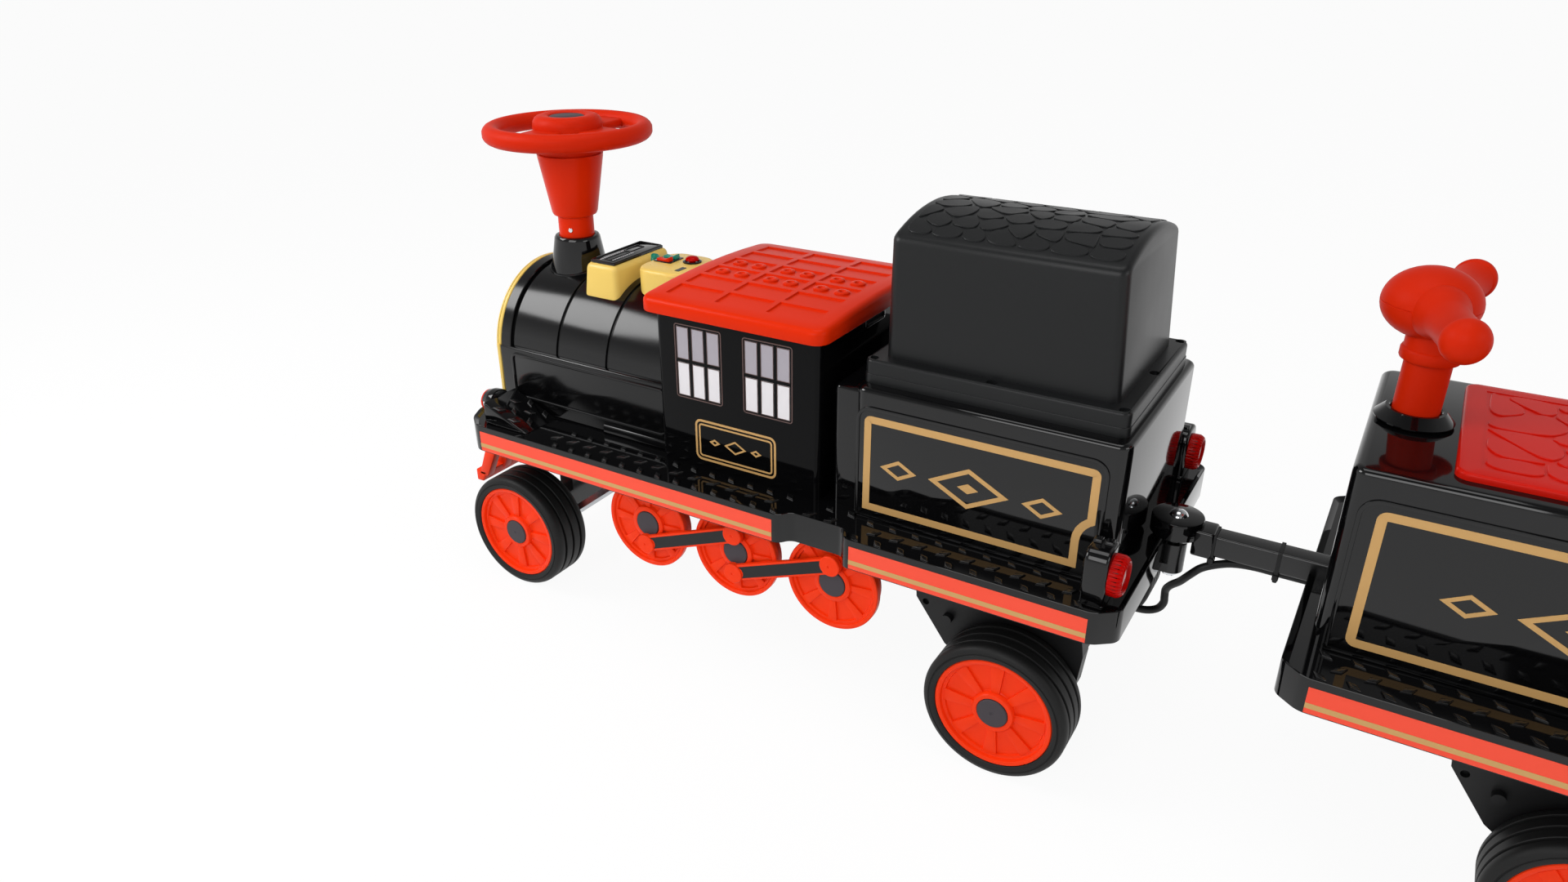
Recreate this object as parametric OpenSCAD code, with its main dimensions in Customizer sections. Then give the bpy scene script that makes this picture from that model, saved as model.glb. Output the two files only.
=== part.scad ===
// Ride-on train: a steerable locomotive with a seat tender and one coupled wagon.
// Millimetres. Inside the modules X runs forward from the rear end of the tender's
// side stripe, Y runs to the left and Z runs up from the running board's tread.

/* [Stance] */
// Height of the running board's tread above the ground
deck_h = 242; // [225:1:260]
// Radial clearance of a running fit
fit = 0.05; // [0.02:0.01:0.1]
// Gap between pieces that are set into each other
seat_gap = 0.2; // [0.1:0.05:0.4]
// Wall of the blow moulded bodies
wall = 3; // [2:0.5:4]

/* [Running board] */
// Forward end of the board
board_front = 885; // [870:1:900]
// Rear end of the board
board_rear = -23; // [-35:1:-18]
// Half width beside the boiler and cab
front_half = 194; // [190:1:200]
// Half width beside the tender
rear_half = 200; // [196:1:206]
// Half width of the waist between cab and tender
waist_half = 180; // [179:1:186]
// Rear end of the waist
waist_rear = 280; // [270:1:290]
// Front end of the waist
waist_front = 368; // [360:1:375]
// Length of the waist's shoulders
shoulder = 10; // [6:1:16]
// Thickness of the tread plate
board_t = 4; // [3:0.5:6]
// Thickness of the skirt
skirt_t = 3.5; // [2.5:0.5:5]
// Height of the lip above the tread
lip_h = 5.5; // [4:0.5:6]
// Width of the lip
lip_w = 7; // [5:0.5:9]
// Depth of the skirt below the tread
skirt_h = 34; // [30:1:38]
// Length of the corner bevels
corner_l = 23; // [15:1:30]
// Depth of the corner bevels
corner_d = 18; // [10:1:24]
// Length of the nose ahead of the front corner bevels
nose_l = 14; // [12:1:22]
// Depth of the nose's bevels
nose_d = 27; // [20:1:32]
// Length of the foot wedges
wedge_l = 75; // [60:1:85]
// Height of the foot wedges
wedge_h = 31; // [24:1:36]
// Width of the foot wedges
wedge_w = 62; // [50:1:66]

/* [Boiler] */
// Radius of the boiler barrel
boiler_r = 107; // [100:1:110]
// Height of the barrel's axis above the tread
boiler_axis = 79; // [74:1:84]
// Front end of the barrel
boiler_front = 870; // [862:1:876]
// Amount by which the smokebox ring stands proud
ring_h = 3.5; // [2:0.5:5]
// Length of the smokebox ring
ring_l = 18; // [12:1:26]
// Half width of the box under the barrel
firebox_half = 113; // [111:1:116]
// Height of the box under the barrel
firebox_h = 90; // [84:1:96]
// Spacing of the barrel bands
band_pitch = 85; // [75:1:95]
// Width of a band groove
band_w = 4; // [3:0.5:6]
// Depth of a band groove
band_d = 1.5; // [1:0.25:2]
// Radius of the smokebox dish
dish_r = 94; // [84:1:100]
// Depth of the smokebox dish
dish_d = 15; // [10:1:18]
// Thickness of the smokebox plate
plate_t = 6; // [4:0.5:7]
// Radius of the chimney base where it meets the barrel
chimney_r = 40; // [36:1:44]
// Radius of the chimney base at its top
chimney_top_r = 31.5; // [29:0.5:38]
// Height of the chimney base's top above the tread
chimney_top = 228; // [208:1:236]

/* [Consoles] */
// Rear end of the music console
music_rear = 695; // [690:1:700]
// Length of the music console
music_l = 59; // [52:1:64]
// Half width of the music console
music_half = 62; // [54:1:68]
// Height of the consoles' tops above the tread
console_top = 211; // [206:1:214]
// Draft of the music console's walls
music_draft = 4; // [2:0.5:6]
// Length of the music panel
panel_l = 41; // [34:1:44]
// Half width of the music panel
panel_half = 53; // [44:1:56]
// Thickness of the music panel
panel_t = 3; // [2:0.5:4]
// Rear end of the switch console
pod_rear = 601; // [599:1:606]
// Length of the switch console
pod_l = 80; // [74:1:86]
// Half width of the switch console
pod_half = 46; // [42:1:50]
// Corner radius of the switch console
pod_round = 26; // [15:1:30]
// Thickness of the switch console's top
pod_t = 16; // [14:1:20]
// Length of a rocker
rocker_l = 20; // [16:1:24]
// Width of a rocker
rocker_w = 10; // [8:0.5:11]
// Spacing of the two rockers
rocker_pitch = 15; // [14:0.5:18]
// Distance of the rockers' pivot ahead of the switch console's rear
rocker_x = 60; // [54:1:62]
// Radius of a rocker's pivot pin
rocker_pin_r = 1.5; // [1:0.25:2]
// Tilt of the rockers at rest, rear end up
rocker_rest = 9; // [6:1:10]
// Distance of the rockers' middle to the right of the console's middle
rocker_right = 7.5; // [0:0.5:10]
// Radius of the start button
button_r = 9; // [7:0.5:11]
// Travel of the start button
button_travel = 3; // [2:0.5:4]
// Distance of the start button ahead of the switch console's rear
button_x = 26; // [22:1:30]
// Distance of the start button to the right of the middle
button_y = 14; // [10:1:20]

/* [Cab] */
// Rear face of the cab
cab_rear = 349; // [345:1:353]
// Front face of the cab
cab_front = 577; // [570:1:582]
// Half width of the cab
cab_half = 133; // [128:1:138]
// Height of the cab walls
cab_h = 195; // [185:1:200]
// Overhang of the roof at the front
roof_front = 20; // [14:1:21]
// Overhang of the roof at the sides and rear
roof_side = 8; // [5:1:10]
// Thickness of the roof at its edge
roof_t = 18; // [14:1:22]
// Rise of the roof across its width
roof_crown = 7; // [3:1:12]
// Depth of the rim that locates the roof in the cab
roof_rim = 10; // [6:1:14]
// Height of the lift notch in the rear wall
notch_h = 14; // [8:1:18]
// Half width of the lift notch
notch_half = 25; // [15:1:35]
// Length of the battery
battery_l = 151; // [120:1:170]
// Width of the battery
battery_w = 98; // [80:1:110]
// Height of the battery
battery_h = 95; // [70:1:110]

/* [Tender and seat] */
// Rear face of the tender
tender_rear = 1; // [0:1:4]
// Front face of the tender
tender_front = 303; // [296:1:308]
// Half width of the tender
tender_half = 137.5; // [134:0.5:139]
// Height of the tender
tender_h = 158; // [148:1:166]
// Length of the narrower neck ahead of the tender
neck_l = 32; // [24:1:38]
// Step from the tender's side to the neck
neck_in = 12; // [8:1:18]
// Plan corner radius of the bodies
body_round = 14; // [8:1:20]
// Radius of the bodies' top edges
top_round = 8; // [4:1:12]
// Margin of the seat flange inside the tender's edge
flange_in = 8; // [5:1:12]
// Margin of the seat flange behind the tender's front
flange_front = 1; // [0.5:0.5:8]
// Half width of the seat flange
flange_half = 120.5; // [118:0.5:124]
// Height of the seat flange
flange_h = 27; // [20:1:32]
// Step from the flange to the seat box
seat_step = 17.5; // [17:0.5:22]
// Height of the seat box's edge above its flange
seat_h = 133; // [120:1:145]
// Rise of the seat across its width
seat_crown = 20; // [10:1:26]
// Plan corner radius of the seat box
seat_round = 18; // [10:1:26]
// Radius of a seat screw's head
screw_head_r = 5; // [4:0.5:6]
// Radius of a seat screw's shank
screw_r = 2.5; // [2:0.25:3]
// Depth of a seat screw's recess
screw_recess = 8; // [5:1:12]

/* [Lamps and pilot] */
// Outer radius of a headlamp's hood
headlamp_r = 19; // [17:1:23]
// Radius of a headlamp's front rim
headlamp_rim_r = 15; // [13:0.5:17]
// Length of a headlamp
headlamp_l = 22; // [14:1:26]
// Distance of a headlamp from the middle
headlamp_y = 145; // [138:1:150]
// Radius of a tail lamp lens
tail_r = 23; // [19:1:24]
// Depth of a tail lamp lens
tail_l = 14; // [12:1:18]
// Distance of a tail lamp from the middle
tail_y = 162; // [162:1:164]
// Height of a tail lamp's axis above the tread
tail_z = 33; // [28:1:38]
// Thickness of a tail lamp housing
tail_case_l = 25; // [20:1:30]
// Half width of the pilot
pilot_half = 140; // [130:1:142]
// Forward lean of the pilot's bars
pilot_lean = 27; // [26:1:30]
// Drop of the pilot below the skirt
pilot_h = 78; // [70:1:84]
// Thickness of the pilot's bars
pilot_t = 9; // [7:0.5:12]
// Width of a pilot bar
pilot_bar_w = 14; // [10:1:18]
// Number of pilot bars
pilot_bars = 9; // [7:2:11]

/* [Wheels] */
// Outer radius of the tyres
wheel_r = 82.5; // [80:0.5:85]
// Width of the tyres
tyre_w = 60; // [54:1:64]
// Width of a tread groove
groove_w = 4; // [3:0.5:5]
// Depth of a tread groove
groove_d = 3; // [2:0.5:4]
// Radius of the rims
rim_r = 67; // [64:0.5:69]
// Radius of the hub boss
hub_r = 24; // [22:0.5:30]
// Radius of a wheel cap
cap_r = 17.5; // [15:0.5:21]
// Radius of the axles
axle_r = 6; // [5:0.25:7]
// Number of spokes
spokes = 8; // [6:1:10]
// Position of the front axle and steering column
front_axle_x = 812; // [806:1:816]
// Distance of the front wheels' outer faces from the middle
front_face_y = 182; // [180:1:186]
// Position of the rear axle
rear_axle_x = 93; // [86:1:100]
// Distance of the rear and wagon wheels' outer faces from the middle
rear_face_y = 201; // [199:1:204]
// Position of the wagon axle
wagon_axle_x = -445; // [-455:1:-435]
// Radius of the dummy driving wheels
dummy_r = 60; // [52:1:64]
// Width of the dummy driving wheels
dummy_w = 22; // [16:1:24]
// Distance of the dummy wheels' outer faces from the middle
dummy_face_y = 174; // [170:1:175]
// Height of the dummy wheels' centres below the tread
dummy_drop = 79; // [74:1:84]
// Position of the leading dummy wheel
dummy_x = 577; // [570:1:585]
// Spacing of the dummy wheels
dummy_pitch = 135; // [130:1:140]
// Offset of the coupling rod pins from the wheel centres
rod_throw = 27; // [22:1:32]
// Thickness of a coupling rod
rod_t = 5; // [4:0.5:6]
// Width of a coupling rod
rod_w = 21; // [15:1:24]
// Radius of a coupling rod's pin
rod_pin_r = 13; // [10:0.5:14]

/* [Steering] */
// Outer radius of the steering wheel
sw_r = 112; // [104:1:118]
// Radius of the steering wheel's tube
sw_tube_r = 12; // [10:0.5:14]
// Height of the steering wheel above the tread
sw_z = 367; // [355:1:380]
// Radius of the steering wheel's hub
sw_hub_r = 46; // [40:1:50]
// Depth of the steering wheel's hub below the middle of its rim
sw_drop = 29; // [24:1:34]
// Radius of the funnel at its top
funnel_r = 44; // [40:1:46]
// Radius of the funnel at its foot
funnel_foot_r = 30.5; // [28:0.5:33]
// Height of the funnel's foot above the tread
funnel_z = 255; // [245:1:265]
// Radius of the tube under the funnel
funnel_tube_r = 24; // [22:0.5:26]
// Radius of the steering shaft
shaft_r = 8; // [7:0.5:10]
// Distance of the kingpins from the middle
kingpin_y = 106; // [104:1:107]
// Radius of the kingpins
kingpin_r = 5; // [4:0.5:6]
// Radius of the knuckle boss
knuckle_r = 10; // [9:0.5:11]
// Height of the knuckle boss
knuckle_h = 30; // [26:1:34]
// Length of the steering arms
arm_l = 40; // [34:1:46]
// Thickness of the steering arms
arm_t = 8; // [6:0.5:10]
// Radius of the tie rod's pins
tie_pin_r = 4; // [3:0.5:5]
// Thickness of the tie rod
tie_t = 6; // [5:0.5:8]
// Length of the front axle beam's section along X
beam_l = 24; // [20:1:28]
// Thickness of the beam's lugs
lug_t = 6; // [5:0.5:8]

/* [Chassis] */
// Side of the square frame tube
tube = 25; // [22:0.5:26]
// Wall of the square frame tube
tube_t = 2; // [1.5:0.5:3]
// Distance of the frame rails from the middle
rail_y = 60; // [52:1:66]
// Distance of the gearboxes' outer faces from the middle
gearbox_y = 138; // [134:1:139]
// Thickness of a gearbox
gearbox_t = 20; // [16:1:24]
// Reach of a gearbox ahead of its axle
gearbox_front = 128; // [120:1:136]
// Reach of a gearbox behind its axle
gearbox_rear = 74; // [70:1:80]
// Radius of a gearbox round its axle
gearbox_r = 36; // [32:1:40]
// Distance of a motor behind the axle
motor_x = 46; // [42:1:50]
// Radius of a motor can
motor_r = 20; // [17:0.5:23]
// Length of a motor can
motor_l = 56; // [46:1:64]

/* [Coupling] */
// Position of the hitch bolt
hitch_x = -30; // [-32:1:-29]
// Radius of the hitch bolt
hitch_r = 5; // [4:0.5:6]
// Radius of the coupling eye
eye_r = 28; // [20:1:30]
// Height of the coupling eye
eye_h = 22; // [12:0.5:26]
// Height of the drawbar's middle above the tread
bar_z = 6; // [4:1:8]
// Length of the socket on the coupling eye
socket_l = 14; // [12:1:26]
// Wall of the socket on the coupling eye
socket_t = 3; // [2.5:0.5:6]
// Length of the drawbar
drawbar_l = 205; // [195:1:225]
// Radius of the coupling cable
cable_r = 4.5; // [3.5:0.5:5]

/* [Wagon] */
// Front end of the wagon board
wagon_front = -168; // [-172:1:-160]
// Length of the wagon board
wagon_l = 422; // [410:1:440]
// Margin of the wagon body inside the board's ends
wagon_in = 18; // [14:1:22]
// Half width of the wagon body
wagon_half = 137; // [132:1:140]
// Height of the wagon body
wagon_h = 187; // [178:1:196]
// Distance of the seat panel behind the body's front
panel_x = 76; // [66:1:84]
// Half width of the seat panel
wagon_seat_half = 115; // [105:1:120]
// Length of the seat panel
wagon_seat_l = 293; // [275:1:296]
// Thickness of the seat panel
wagon_seat_t = 7; // [5:0.5:10]
// Distance of the handle behind the body's front
handle_x = 37; // [34:1:40]
// Radius of the handle's stem
stem_r = 20.5; // [19:0.5:23]
// Height of the handle's cuff above the body
cuff_z = 62; // [55:1:68]
// Height of the cuff
cuff_h = 22; // [16:1:26]
// Radius of the cuff
cuff_r = 26; // [25:0.5:30]
// Height of the bulb's centre above the body
bulb_z = 115; // [108:1:118]
// Radius of the bulb
bulb_r = 42; // [38:1:50]
// Half height of the bulb
bulb_h = 33; // [30:1:40]
// Distance of the bulb ahead of the stem's axis
bulb_ahead = 10; // [0:1:14]
// Distance that the grips sweep back from the bulb
grip_back = 30; // [20:1:36]
// Half length of the handlebar
grip_half = 98; // [86:1:105]
// Radius of the handlebar
grip_r = 18; // [15:0.5:23]
// Radius of the handlebar's ball ends
ball_r = 20; // [18:0.5:27]
// Radius of the collar under the stem
collar_r = 35; // [31:1:38]
// Height of the collar
collar_h = 13; // [9:1:17]

/* [Hidden] */
$fn = 64;
eps = 0.01;
far = 900;
axle_z = wheel_r - deck_h;
wagon_rear = wagon_front - wagon_l;
body_front = wagon_front - wagon_in;
body_rear = wagon_rear + wagon_in;
pilot_run = pilot_h * tan(pilot_lean);
pilot_top_x = board_front - 18;
pilot_bar_x = pilot_top_x + pilot_run;
pilot_foot_l = 15;
pilot_front = pilot_bar_x + pilot_foot_l;
hitch_boss_r = 14;
hitch_gap = 1;
wagon_hitch_x = wagon_rear + hitch_x - board_rear;
mid_x = (pilot_front + wagon_hitch_x - hitch_boss_r) / 2;
rail_top = -board_t;
rail_rear = 20;
rail_front = board_front - 35;
beam_top = axle_z + knuckle_h / 2 + lug_t;
beam_low = axle_z - knuckle_h / 2 - lug_t;
arm_z = axle_z - arm_t / 2;
tie_x = front_axle_x - arm_l;
crank_z = beam_top + 4;
hub_web = tyre_w - 10;
hub_bore_end = tyre_w - 20;
cap_seat = tyre_w - 7;
nut_pocket_r = 13.5;
nut_r = 10;
nut_t = 7;
eye_low = lip_h + hitch_gap;
eye_top = eye_low + eye_h;
bracket_low = -40;
ring_r = boiler_r + ring_h;
ring_rear = boiler_front - ring_l;
wedge_front = board_front - corner_l - nose_l;
wedge_in = headlamp_y - wedge_w / 2;
pod_x = pod_rear + pod_l;
rocker_z = console_top - 1;
seat_front = tender_front - flange_front;
flange_top = tender_h + flange_h;
seat_edge = flange_top + seat_h;
hub_face = sw_z + 21;
// The coupling cable's points; it crosses the hitch bolt's axis upright at point 9
cable_cross = 9;
cable_route = [
  [56, 30, -board_t], [56, 30, -24], [54, 29, -44], [46, 25, -66], [30, 17, -86], [10, 8, -99],
  [-10, 2, -103], [-24, 0, -98], [hitch_x, 0, -88], [hitch_x, 0, -79], [hitch_x, 0, -70],
  [-35, 4, -60], [-45, 10, -48], [-55, 15, -33], [-65, 14, -22], [-80, 8, -16], [-95, 3, -13],
  [-115, 0, -12], [-140, 0, -12], [-165, 0, -12], [-190, 0, -12], [-212, 0, -12], [-234, 0, -12]];
black = [0.05, 0.05, 0.055];
red = [0.91, 0.24, 0.09];
yellow = [0.91, 0.79, 0.43];
steel = [0.6, 0.61, 0.63];
rubber = [0.09, 0.09, 0.095];

// Moves the working frame to the middle of the train, at ground level
module place() {
  translate([-mid_x, 0, deck_h]) children();
}

// A shape and its mirror image on the right-hand side
module pair() {
  children();
  mirror([0, 1, 0]) children();
}

// Rectangle along X with rounded corners, symmetric in Y
module rounded_plan(x0, x1, half, r) {
  translate([x0 + r, -half]) square([x1 - x0 - 2 * r, 2 * half]);
  translate([x0, -half + r]) square([x1 - x0, 2 * half - 2 * r]);
  for (x = [x0 + r, x1 - r], y = [-half + r, half - r]) translate([x, y]) circle(r);
}

// Extrudes a Y-Z outline along X
module along_x(x0, x1) {
  translate([x0, 0, 0]) rotate([90, 0, 90]) linear_extrude(x1 - x0) children();
}

// Extrudes an X-Z outline along Y
module along_y(y0, y1) {
  translate([0, y1, 0]) rotate([90, 0, 0]) linear_extrude(y1 - y0) children();
}

// Cylinder between two heights
module post(x, y, z0, z1, r) {
  translate([x, y, z0]) cylinder(r = r, h = z1 - z0);
}

// Cylinder along Y
module pin_y(x, z, y0, y1, r) {
  translate([x, y1, z]) rotate([90, 0, 0]) cylinder(r = r, h = y1 - y0);
}

// Cylinder along X
module pin_x(y, z, x0, x1, r) {
  translate([x0, y, z]) rotate([0, 90, 0]) cylinder(r = r, h = x1 - x0);
}

// Box between two corners, symmetric in Y
module slab(x0, x1, half, z0, z1) {
  translate([x0, -half, z0]) cube([x1 - x0, 2 * half, z1 - z0]);
}

// Upright body with rounded corners and rounded upper long edges
module body_block(x0, x1, half, z0, z1, r, top_r) {
  intersection() {
    translate([0, 0, z0]) linear_extrude(z1 - z0) rounded_plan(x0, x1, half, r);
    along_x(x0 - 1, x1 + 1) {
      translate([-half, z0]) square([2 * half, z1 - z0 - top_r]);
      translate([-half + top_r, z0]) square([2 * half - 2 * top_r, z1 - z0]);
      for (y = [-half + top_r, half - top_r]) translate([y, z1 - top_r]) circle(top_r);
    }
  }
}

// Body whose top is an arc across its width
module crowned_block(x0, x1, half, z0, z1, rise, r) {
  crown_r = (half * half + rise * rise) / (2 * rise);
  intersection() {
    translate([0, 0, z0]) linear_extrude(z1 + rise - z0) rounded_plan(x0, x1, half, r);
    translate([x0 - 1, 0, z1 + rise - crown_r]) rotate([0, 90, 0])
      cylinder(r = crown_r, h = x1 - x0 + 2, $fn = 720);
  }
}

// One side of the locomotive board's outline, drawn in by d, from rear to front
function board_side(d) = [
  [board_rear + d, rear_half - corner_d - d], [board_rear + corner_l, rear_half - d],
  [waist_rear - d, rear_half - d], [waist_rear + shoulder - d, waist_half - d],
  [waist_front - shoulder + d, waist_half - d], [waist_front + d, front_half - d],
  [board_front - corner_l - nose_l, front_half - d], [board_front - nose_l, front_half - corner_d - d],
  [board_front - d, front_half - corner_d - nose_d - d]];

// One side of the wagon board's outline, drawn in by d, from rear to front
function wagon_side(d) = [
  [wagon_rear + d, rear_half - corner_d - d], [wagon_rear + corner_l, rear_half - d],
  [wagon_front - corner_l, rear_half - d], [wagon_front - d, rear_half - corner_d - d]];

// Closes one side of an outline with its mirror image
function closed(side) = concat(side, [for (i = [len(side) - 1 : -1 : 0]) [side[i][0], -side[i][1]]]);

// Tray with a raised lip round a tread and a skirt below, from three outlines
module tray(outer, tread, inner) {
  difference() {
    translate([0, 0, -skirt_h]) linear_extrude(skirt_h + lip_h) polygon(outer);
    linear_extrude(lip_h + 1) polygon(tread);
    translate([0, 0, -skirt_h - 1]) linear_extrude(skirt_h + 1 - board_t) polygon(inner);
  }
}

// Opening in the rear skirt at end for a hitch boss
module hitch_notch(end) {
  slab(end - 2, end + skirt_t + 2, hitch_boss_r + 8, -skirt_h - 1, -board_t);
}

// Foot wedge on the running board, high at the front
module foot_wedge() {
  along_y(wedge_in, wedge_in + wedge_w)
    polygon([[wedge_front - wedge_l, 0], [wedge_front, 0], [wedge_front, wedge_h]]);
}

// The space a headlamp takes above the tread, with a seating gap
module headlamp_space() {
  intersection() {
    pin_x(headlamp_y, headlamp_r, wedge_front, wedge_front + headlamp_l + seat_gap, headlamp_r + seat_gap);
    slab(wedge_front, wedge_front + headlamp_l + 1, far, 0, far);
  }
}

module running_board() {
  bush_r = shaft_r + 8;
  color(black) place() {
    difference() {
      union() {
        tray(closed(board_side(0)), closed(board_side(lip_w)), closed(board_side(skirt_t)));
        post(front_axle_x, 0, -24, -1, bush_r);
        pair() foot_wedge();
      }
      post(front_axle_x, 0, -30, 10, shaft_r + fit);
      hitch_notch(board_rear);
      pair() headlamp_space();
    }
    pair() for (i = [0 : 2])
      translate([dummy_x - i * dummy_pitch - 20, dummy_face_y - dummy_w - 8, -dummy_drop - 20])
        cube([40, 8, dummy_drop + 20 - board_t]);
  }
}

// Square tube along X or Y
module frame_tube_x(x0, x1, y, z_top) {
  difference() {
    translate([x0, y - tube / 2, z_top - tube]) cube([x1 - x0, tube, tube]);
    translate([x0 - 1, y - tube / 2 + tube_t, z_top - tube + tube_t])
      cube([x1 - x0 + 2, tube - 2 * tube_t, tube - 2 * tube_t]);
  }
}

module frame_tube_y(x, half, z_top) {
  difference() {
    translate([x, -half, z_top - tube]) cube([tube, 2 * half, tube]);
    translate([x + tube_t, -half - 1, z_top - tube + tube_t])
      cube([tube - 2 * tube_t, 2 * half + 2, tube - 2 * tube_t]);
  }
}

module chassis_frame() {
  color(steel) place() {
    pair() frame_tube_x(rail_rear, rail_front, rail_y, rail_top);
    for (x = [rail_rear, cab_rear]) frame_tube_y(x, rail_y - tube / 2, rail_top);
  }
}

// Arch outline of the boiler with radius r, over a box of half width w and height h
module boiler_outline(r, w, h) {
  intersection() {
    union() {
      translate([0, boiler_axis]) circle(r);
      translate([-w, 0]) square([2 * w, h]);
    }
    translate([-far, 0]) square([2 * far, far]);
  }
}

module boiler_shell() {
  color(black) place() difference() {
    union() {
      along_x(cab_front, boiler_front) boiler_outline(boiler_r, firebox_half, firebox_h);
      along_x(ring_rear, boiler_front) boiler_outline(ring_r, firebox_half, firebox_h);
    }
    along_x(cab_front - 1, boiler_front + 1) translate([0, -1])
      boiler_outline(boiler_r - wall + 1, firebox_half - wall, firebox_h - wall + 1);
    post(front_axle_x, 0, boiler_axis, boiler_axis + 2 * boiler_r, funnel_tube_r + 2);
    for (x = [ring_rear - band_w, ring_rear - band_pitch, ring_rear - 2 * band_pitch]) intersection() {
      difference() {
        pin_x(0, boiler_axis, x, x + band_w, boiler_r + 1);
        pin_x(0, boiler_axis, x - 1, x + band_w + 1, boiler_r - band_d);
      }
      slab(x - 2, x + band_w + 2, far, firebox_h, far);
    }
  }
}

module smokebox_front() {
  clear = lip_h + hitch_gap;
  face = boiler_front + plate_t;
  color(yellow) place() {
    along_x(boiler_front, face) boiler_outline(ring_r, firebox_half, firebox_h);
    intersection() {
      translate([face - eps, 0, boiler_axis]) rotate([0, 90, 0]) rotate_extrude()
        polygon([[0, 0], [ring_r - 0.5, 0], [ring_r - 0.5, 3], [dish_r + 1, 3], [dish_r, dish_d - 2],
          [dish_r - 4, dish_d], [0, dish_d]]);
      slab(boiler_front, boiler_front + 60, far, clear, far);
    }
    slab(face - eps, face + dish_d * 0.7, dish_r, clear, boiler_axis / 2);
  }
}

// The space taken by the boiler barrel, with a seating gap
module barrel_space() {
  pin_x(0, boiler_axis, cab_front - 1, boiler_front, boiler_r + seat_gap);
}

module chimney_base() {
  bore = funnel_tube_r + 0.4;
  foot = boiler_axis + boiler_r - 20;
  color(black) place() difference() {
    translate([front_axle_x, 0, 0]) rotate_extrude()
      polygon([[bore, foot], [chimney_r, foot], [chimney_r, foot + 14], [chimney_top_r, chimney_top - 2],
        [chimney_top_r - 2, chimney_top], [bore, chimney_top]]);
    barrel_space();
  }
}

module music_console() {
  foot = boiler_axis + boiler_r - 30;
  color(yellow) place() {
    difference() {
      intersection() {
        along_y(-music_half, music_half)
          polygon([[music_rear, foot], [music_rear + music_l, foot],
            [music_rear + music_l - music_draft, console_top], [music_rear + music_draft, console_top]]);
        along_x(music_rear - 1, music_rear + music_l + 1)
          polygon([[-music_half, foot], [music_half, foot], [music_half - music_draft, console_top],
            [music_draft - music_half, console_top]]);
      }
      barrel_space();
      slab(music_rear + music_draft + wall, music_rear + music_l - music_draft - wall,
        music_half - music_draft - wall, foot - 1, console_top - wall);
    }
    pin_x(-25, console_top - 10, music_rear - 1, music_rear + music_draft + 1, 8.5);
  }
}

module music_panel() {
  middle = music_rear + music_l / 2;
  color(black) place() translate([0, 0, console_top])
    linear_extrude(panel_t) rounded_plan(middle - panel_l / 2, middle + panel_l / 2, panel_half, 4);
}

// Places a rocker's own frame at its pivot: side 1 is the left one, -1 the right one
module at_rocker(side) {
  translate([pod_rear + rocker_x, side * rocker_pitch / 2 - rocker_right, rocker_z]) children();
}

module switch_console() {
  foot = boiler_axis + boiler_r - 30;
  pocket = rocker_w / 2 + 0.4;
  color(yellow) place() difference() {
    translate([0, 0, foot]) linear_extrude(console_top - foot)
      rounded_plan(pod_rear, pod_x, pod_half, pod_round);
    barrel_space();
    translate([0, 0, foot - 1]) linear_extrude(console_top - pod_t - foot + 1)
      rounded_plan(pod_rear + wall, pod_x - wall, pod_half - wall, pod_round - wall);
    for (side = [-1, 1]) at_rocker(side) {
      slab(-rocker_l / 2 - 1.5, rocker_l / 2 + 1.5, pocket, -9, 10);
      pin_y(0, 0, -pocket - 1.2, pocket + 1.2, rocker_pin_r + fit);
    }
    post(pod_rear + button_x, -button_y, console_top - pod_t - 1, console_top + 1, button_r / 2 + fit);
  }
}

// Rocker with its pivot pin, its rear end up at rest
module rocker(side) {
  place() at_rocker(side) rotate([0, rocker_rest, 0]) {
    intersection() {
      slab(-rocker_l / 2, rocker_l / 2, rocker_w / 2, -4, 6.5);
      pin_y(0, 22, -rocker_w, rocker_w, 24);
    }
    pin_y(0, 0, -rocker_w / 2 - 1.2, rocker_w / 2 + 1.2, rocker_pin_r);
  }
}

module rocker_red() {
  color(red) rocker(1);
}

module rocker_green() {
  color([0.05, 0.55, 0.45]) rocker(-1);
}

module start_button() {
  head = console_top + button_travel + seat_gap;
  color(red) place() translate([pod_rear + button_x, -button_y, 0]) {
    post(0, 0, head, head + 5, button_r);
    post(0, 0, console_top - pod_t + button_travel + 1, head + 1, button_r / 2);
  }
}

module cab_shell() {
  color(black) place() difference() {
    translate([0, 0, 0]) linear_extrude(cab_h) rounded_plan(cab_rear, cab_front, cab_half, 6);
    translate([0, 0, -1]) linear_extrude(cab_h + 2)
      rounded_plan(cab_rear + wall, cab_front - wall, cab_half - wall, 4);
    slab(cab_rear - 1, cab_rear + wall + 1, notch_half, cab_h - notch_h, cab_h + 1);
  }
}

module cab_roof() {
  inset = wall + seat_gap;
  color(red) place() {
    difference() {
      crowned_block(cab_rear - roof_side, cab_front + roof_front, cab_half + roof_side, cab_h,
        cab_h + roof_t, roof_crown, 18);
      translate([0, 0, cab_h - 1]) linear_extrude(roof_t - 5)
        rounded_plan(cab_rear + 12, cab_front - 12, cab_half - 12, 6);
    }
    difference() {
      translate([0, 0, cab_h - roof_rim]) linear_extrude(roof_rim + 1)
        rounded_plan(cab_rear + inset, cab_front - inset, cab_half - inset, 4);
      translate([0, 0, cab_h - roof_rim - 1]) linear_extrude(roof_rim + 3)
        rounded_plan(cab_rear + 12, cab_front - 12, cab_half - 12, 6);
    }
  }
}

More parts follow.
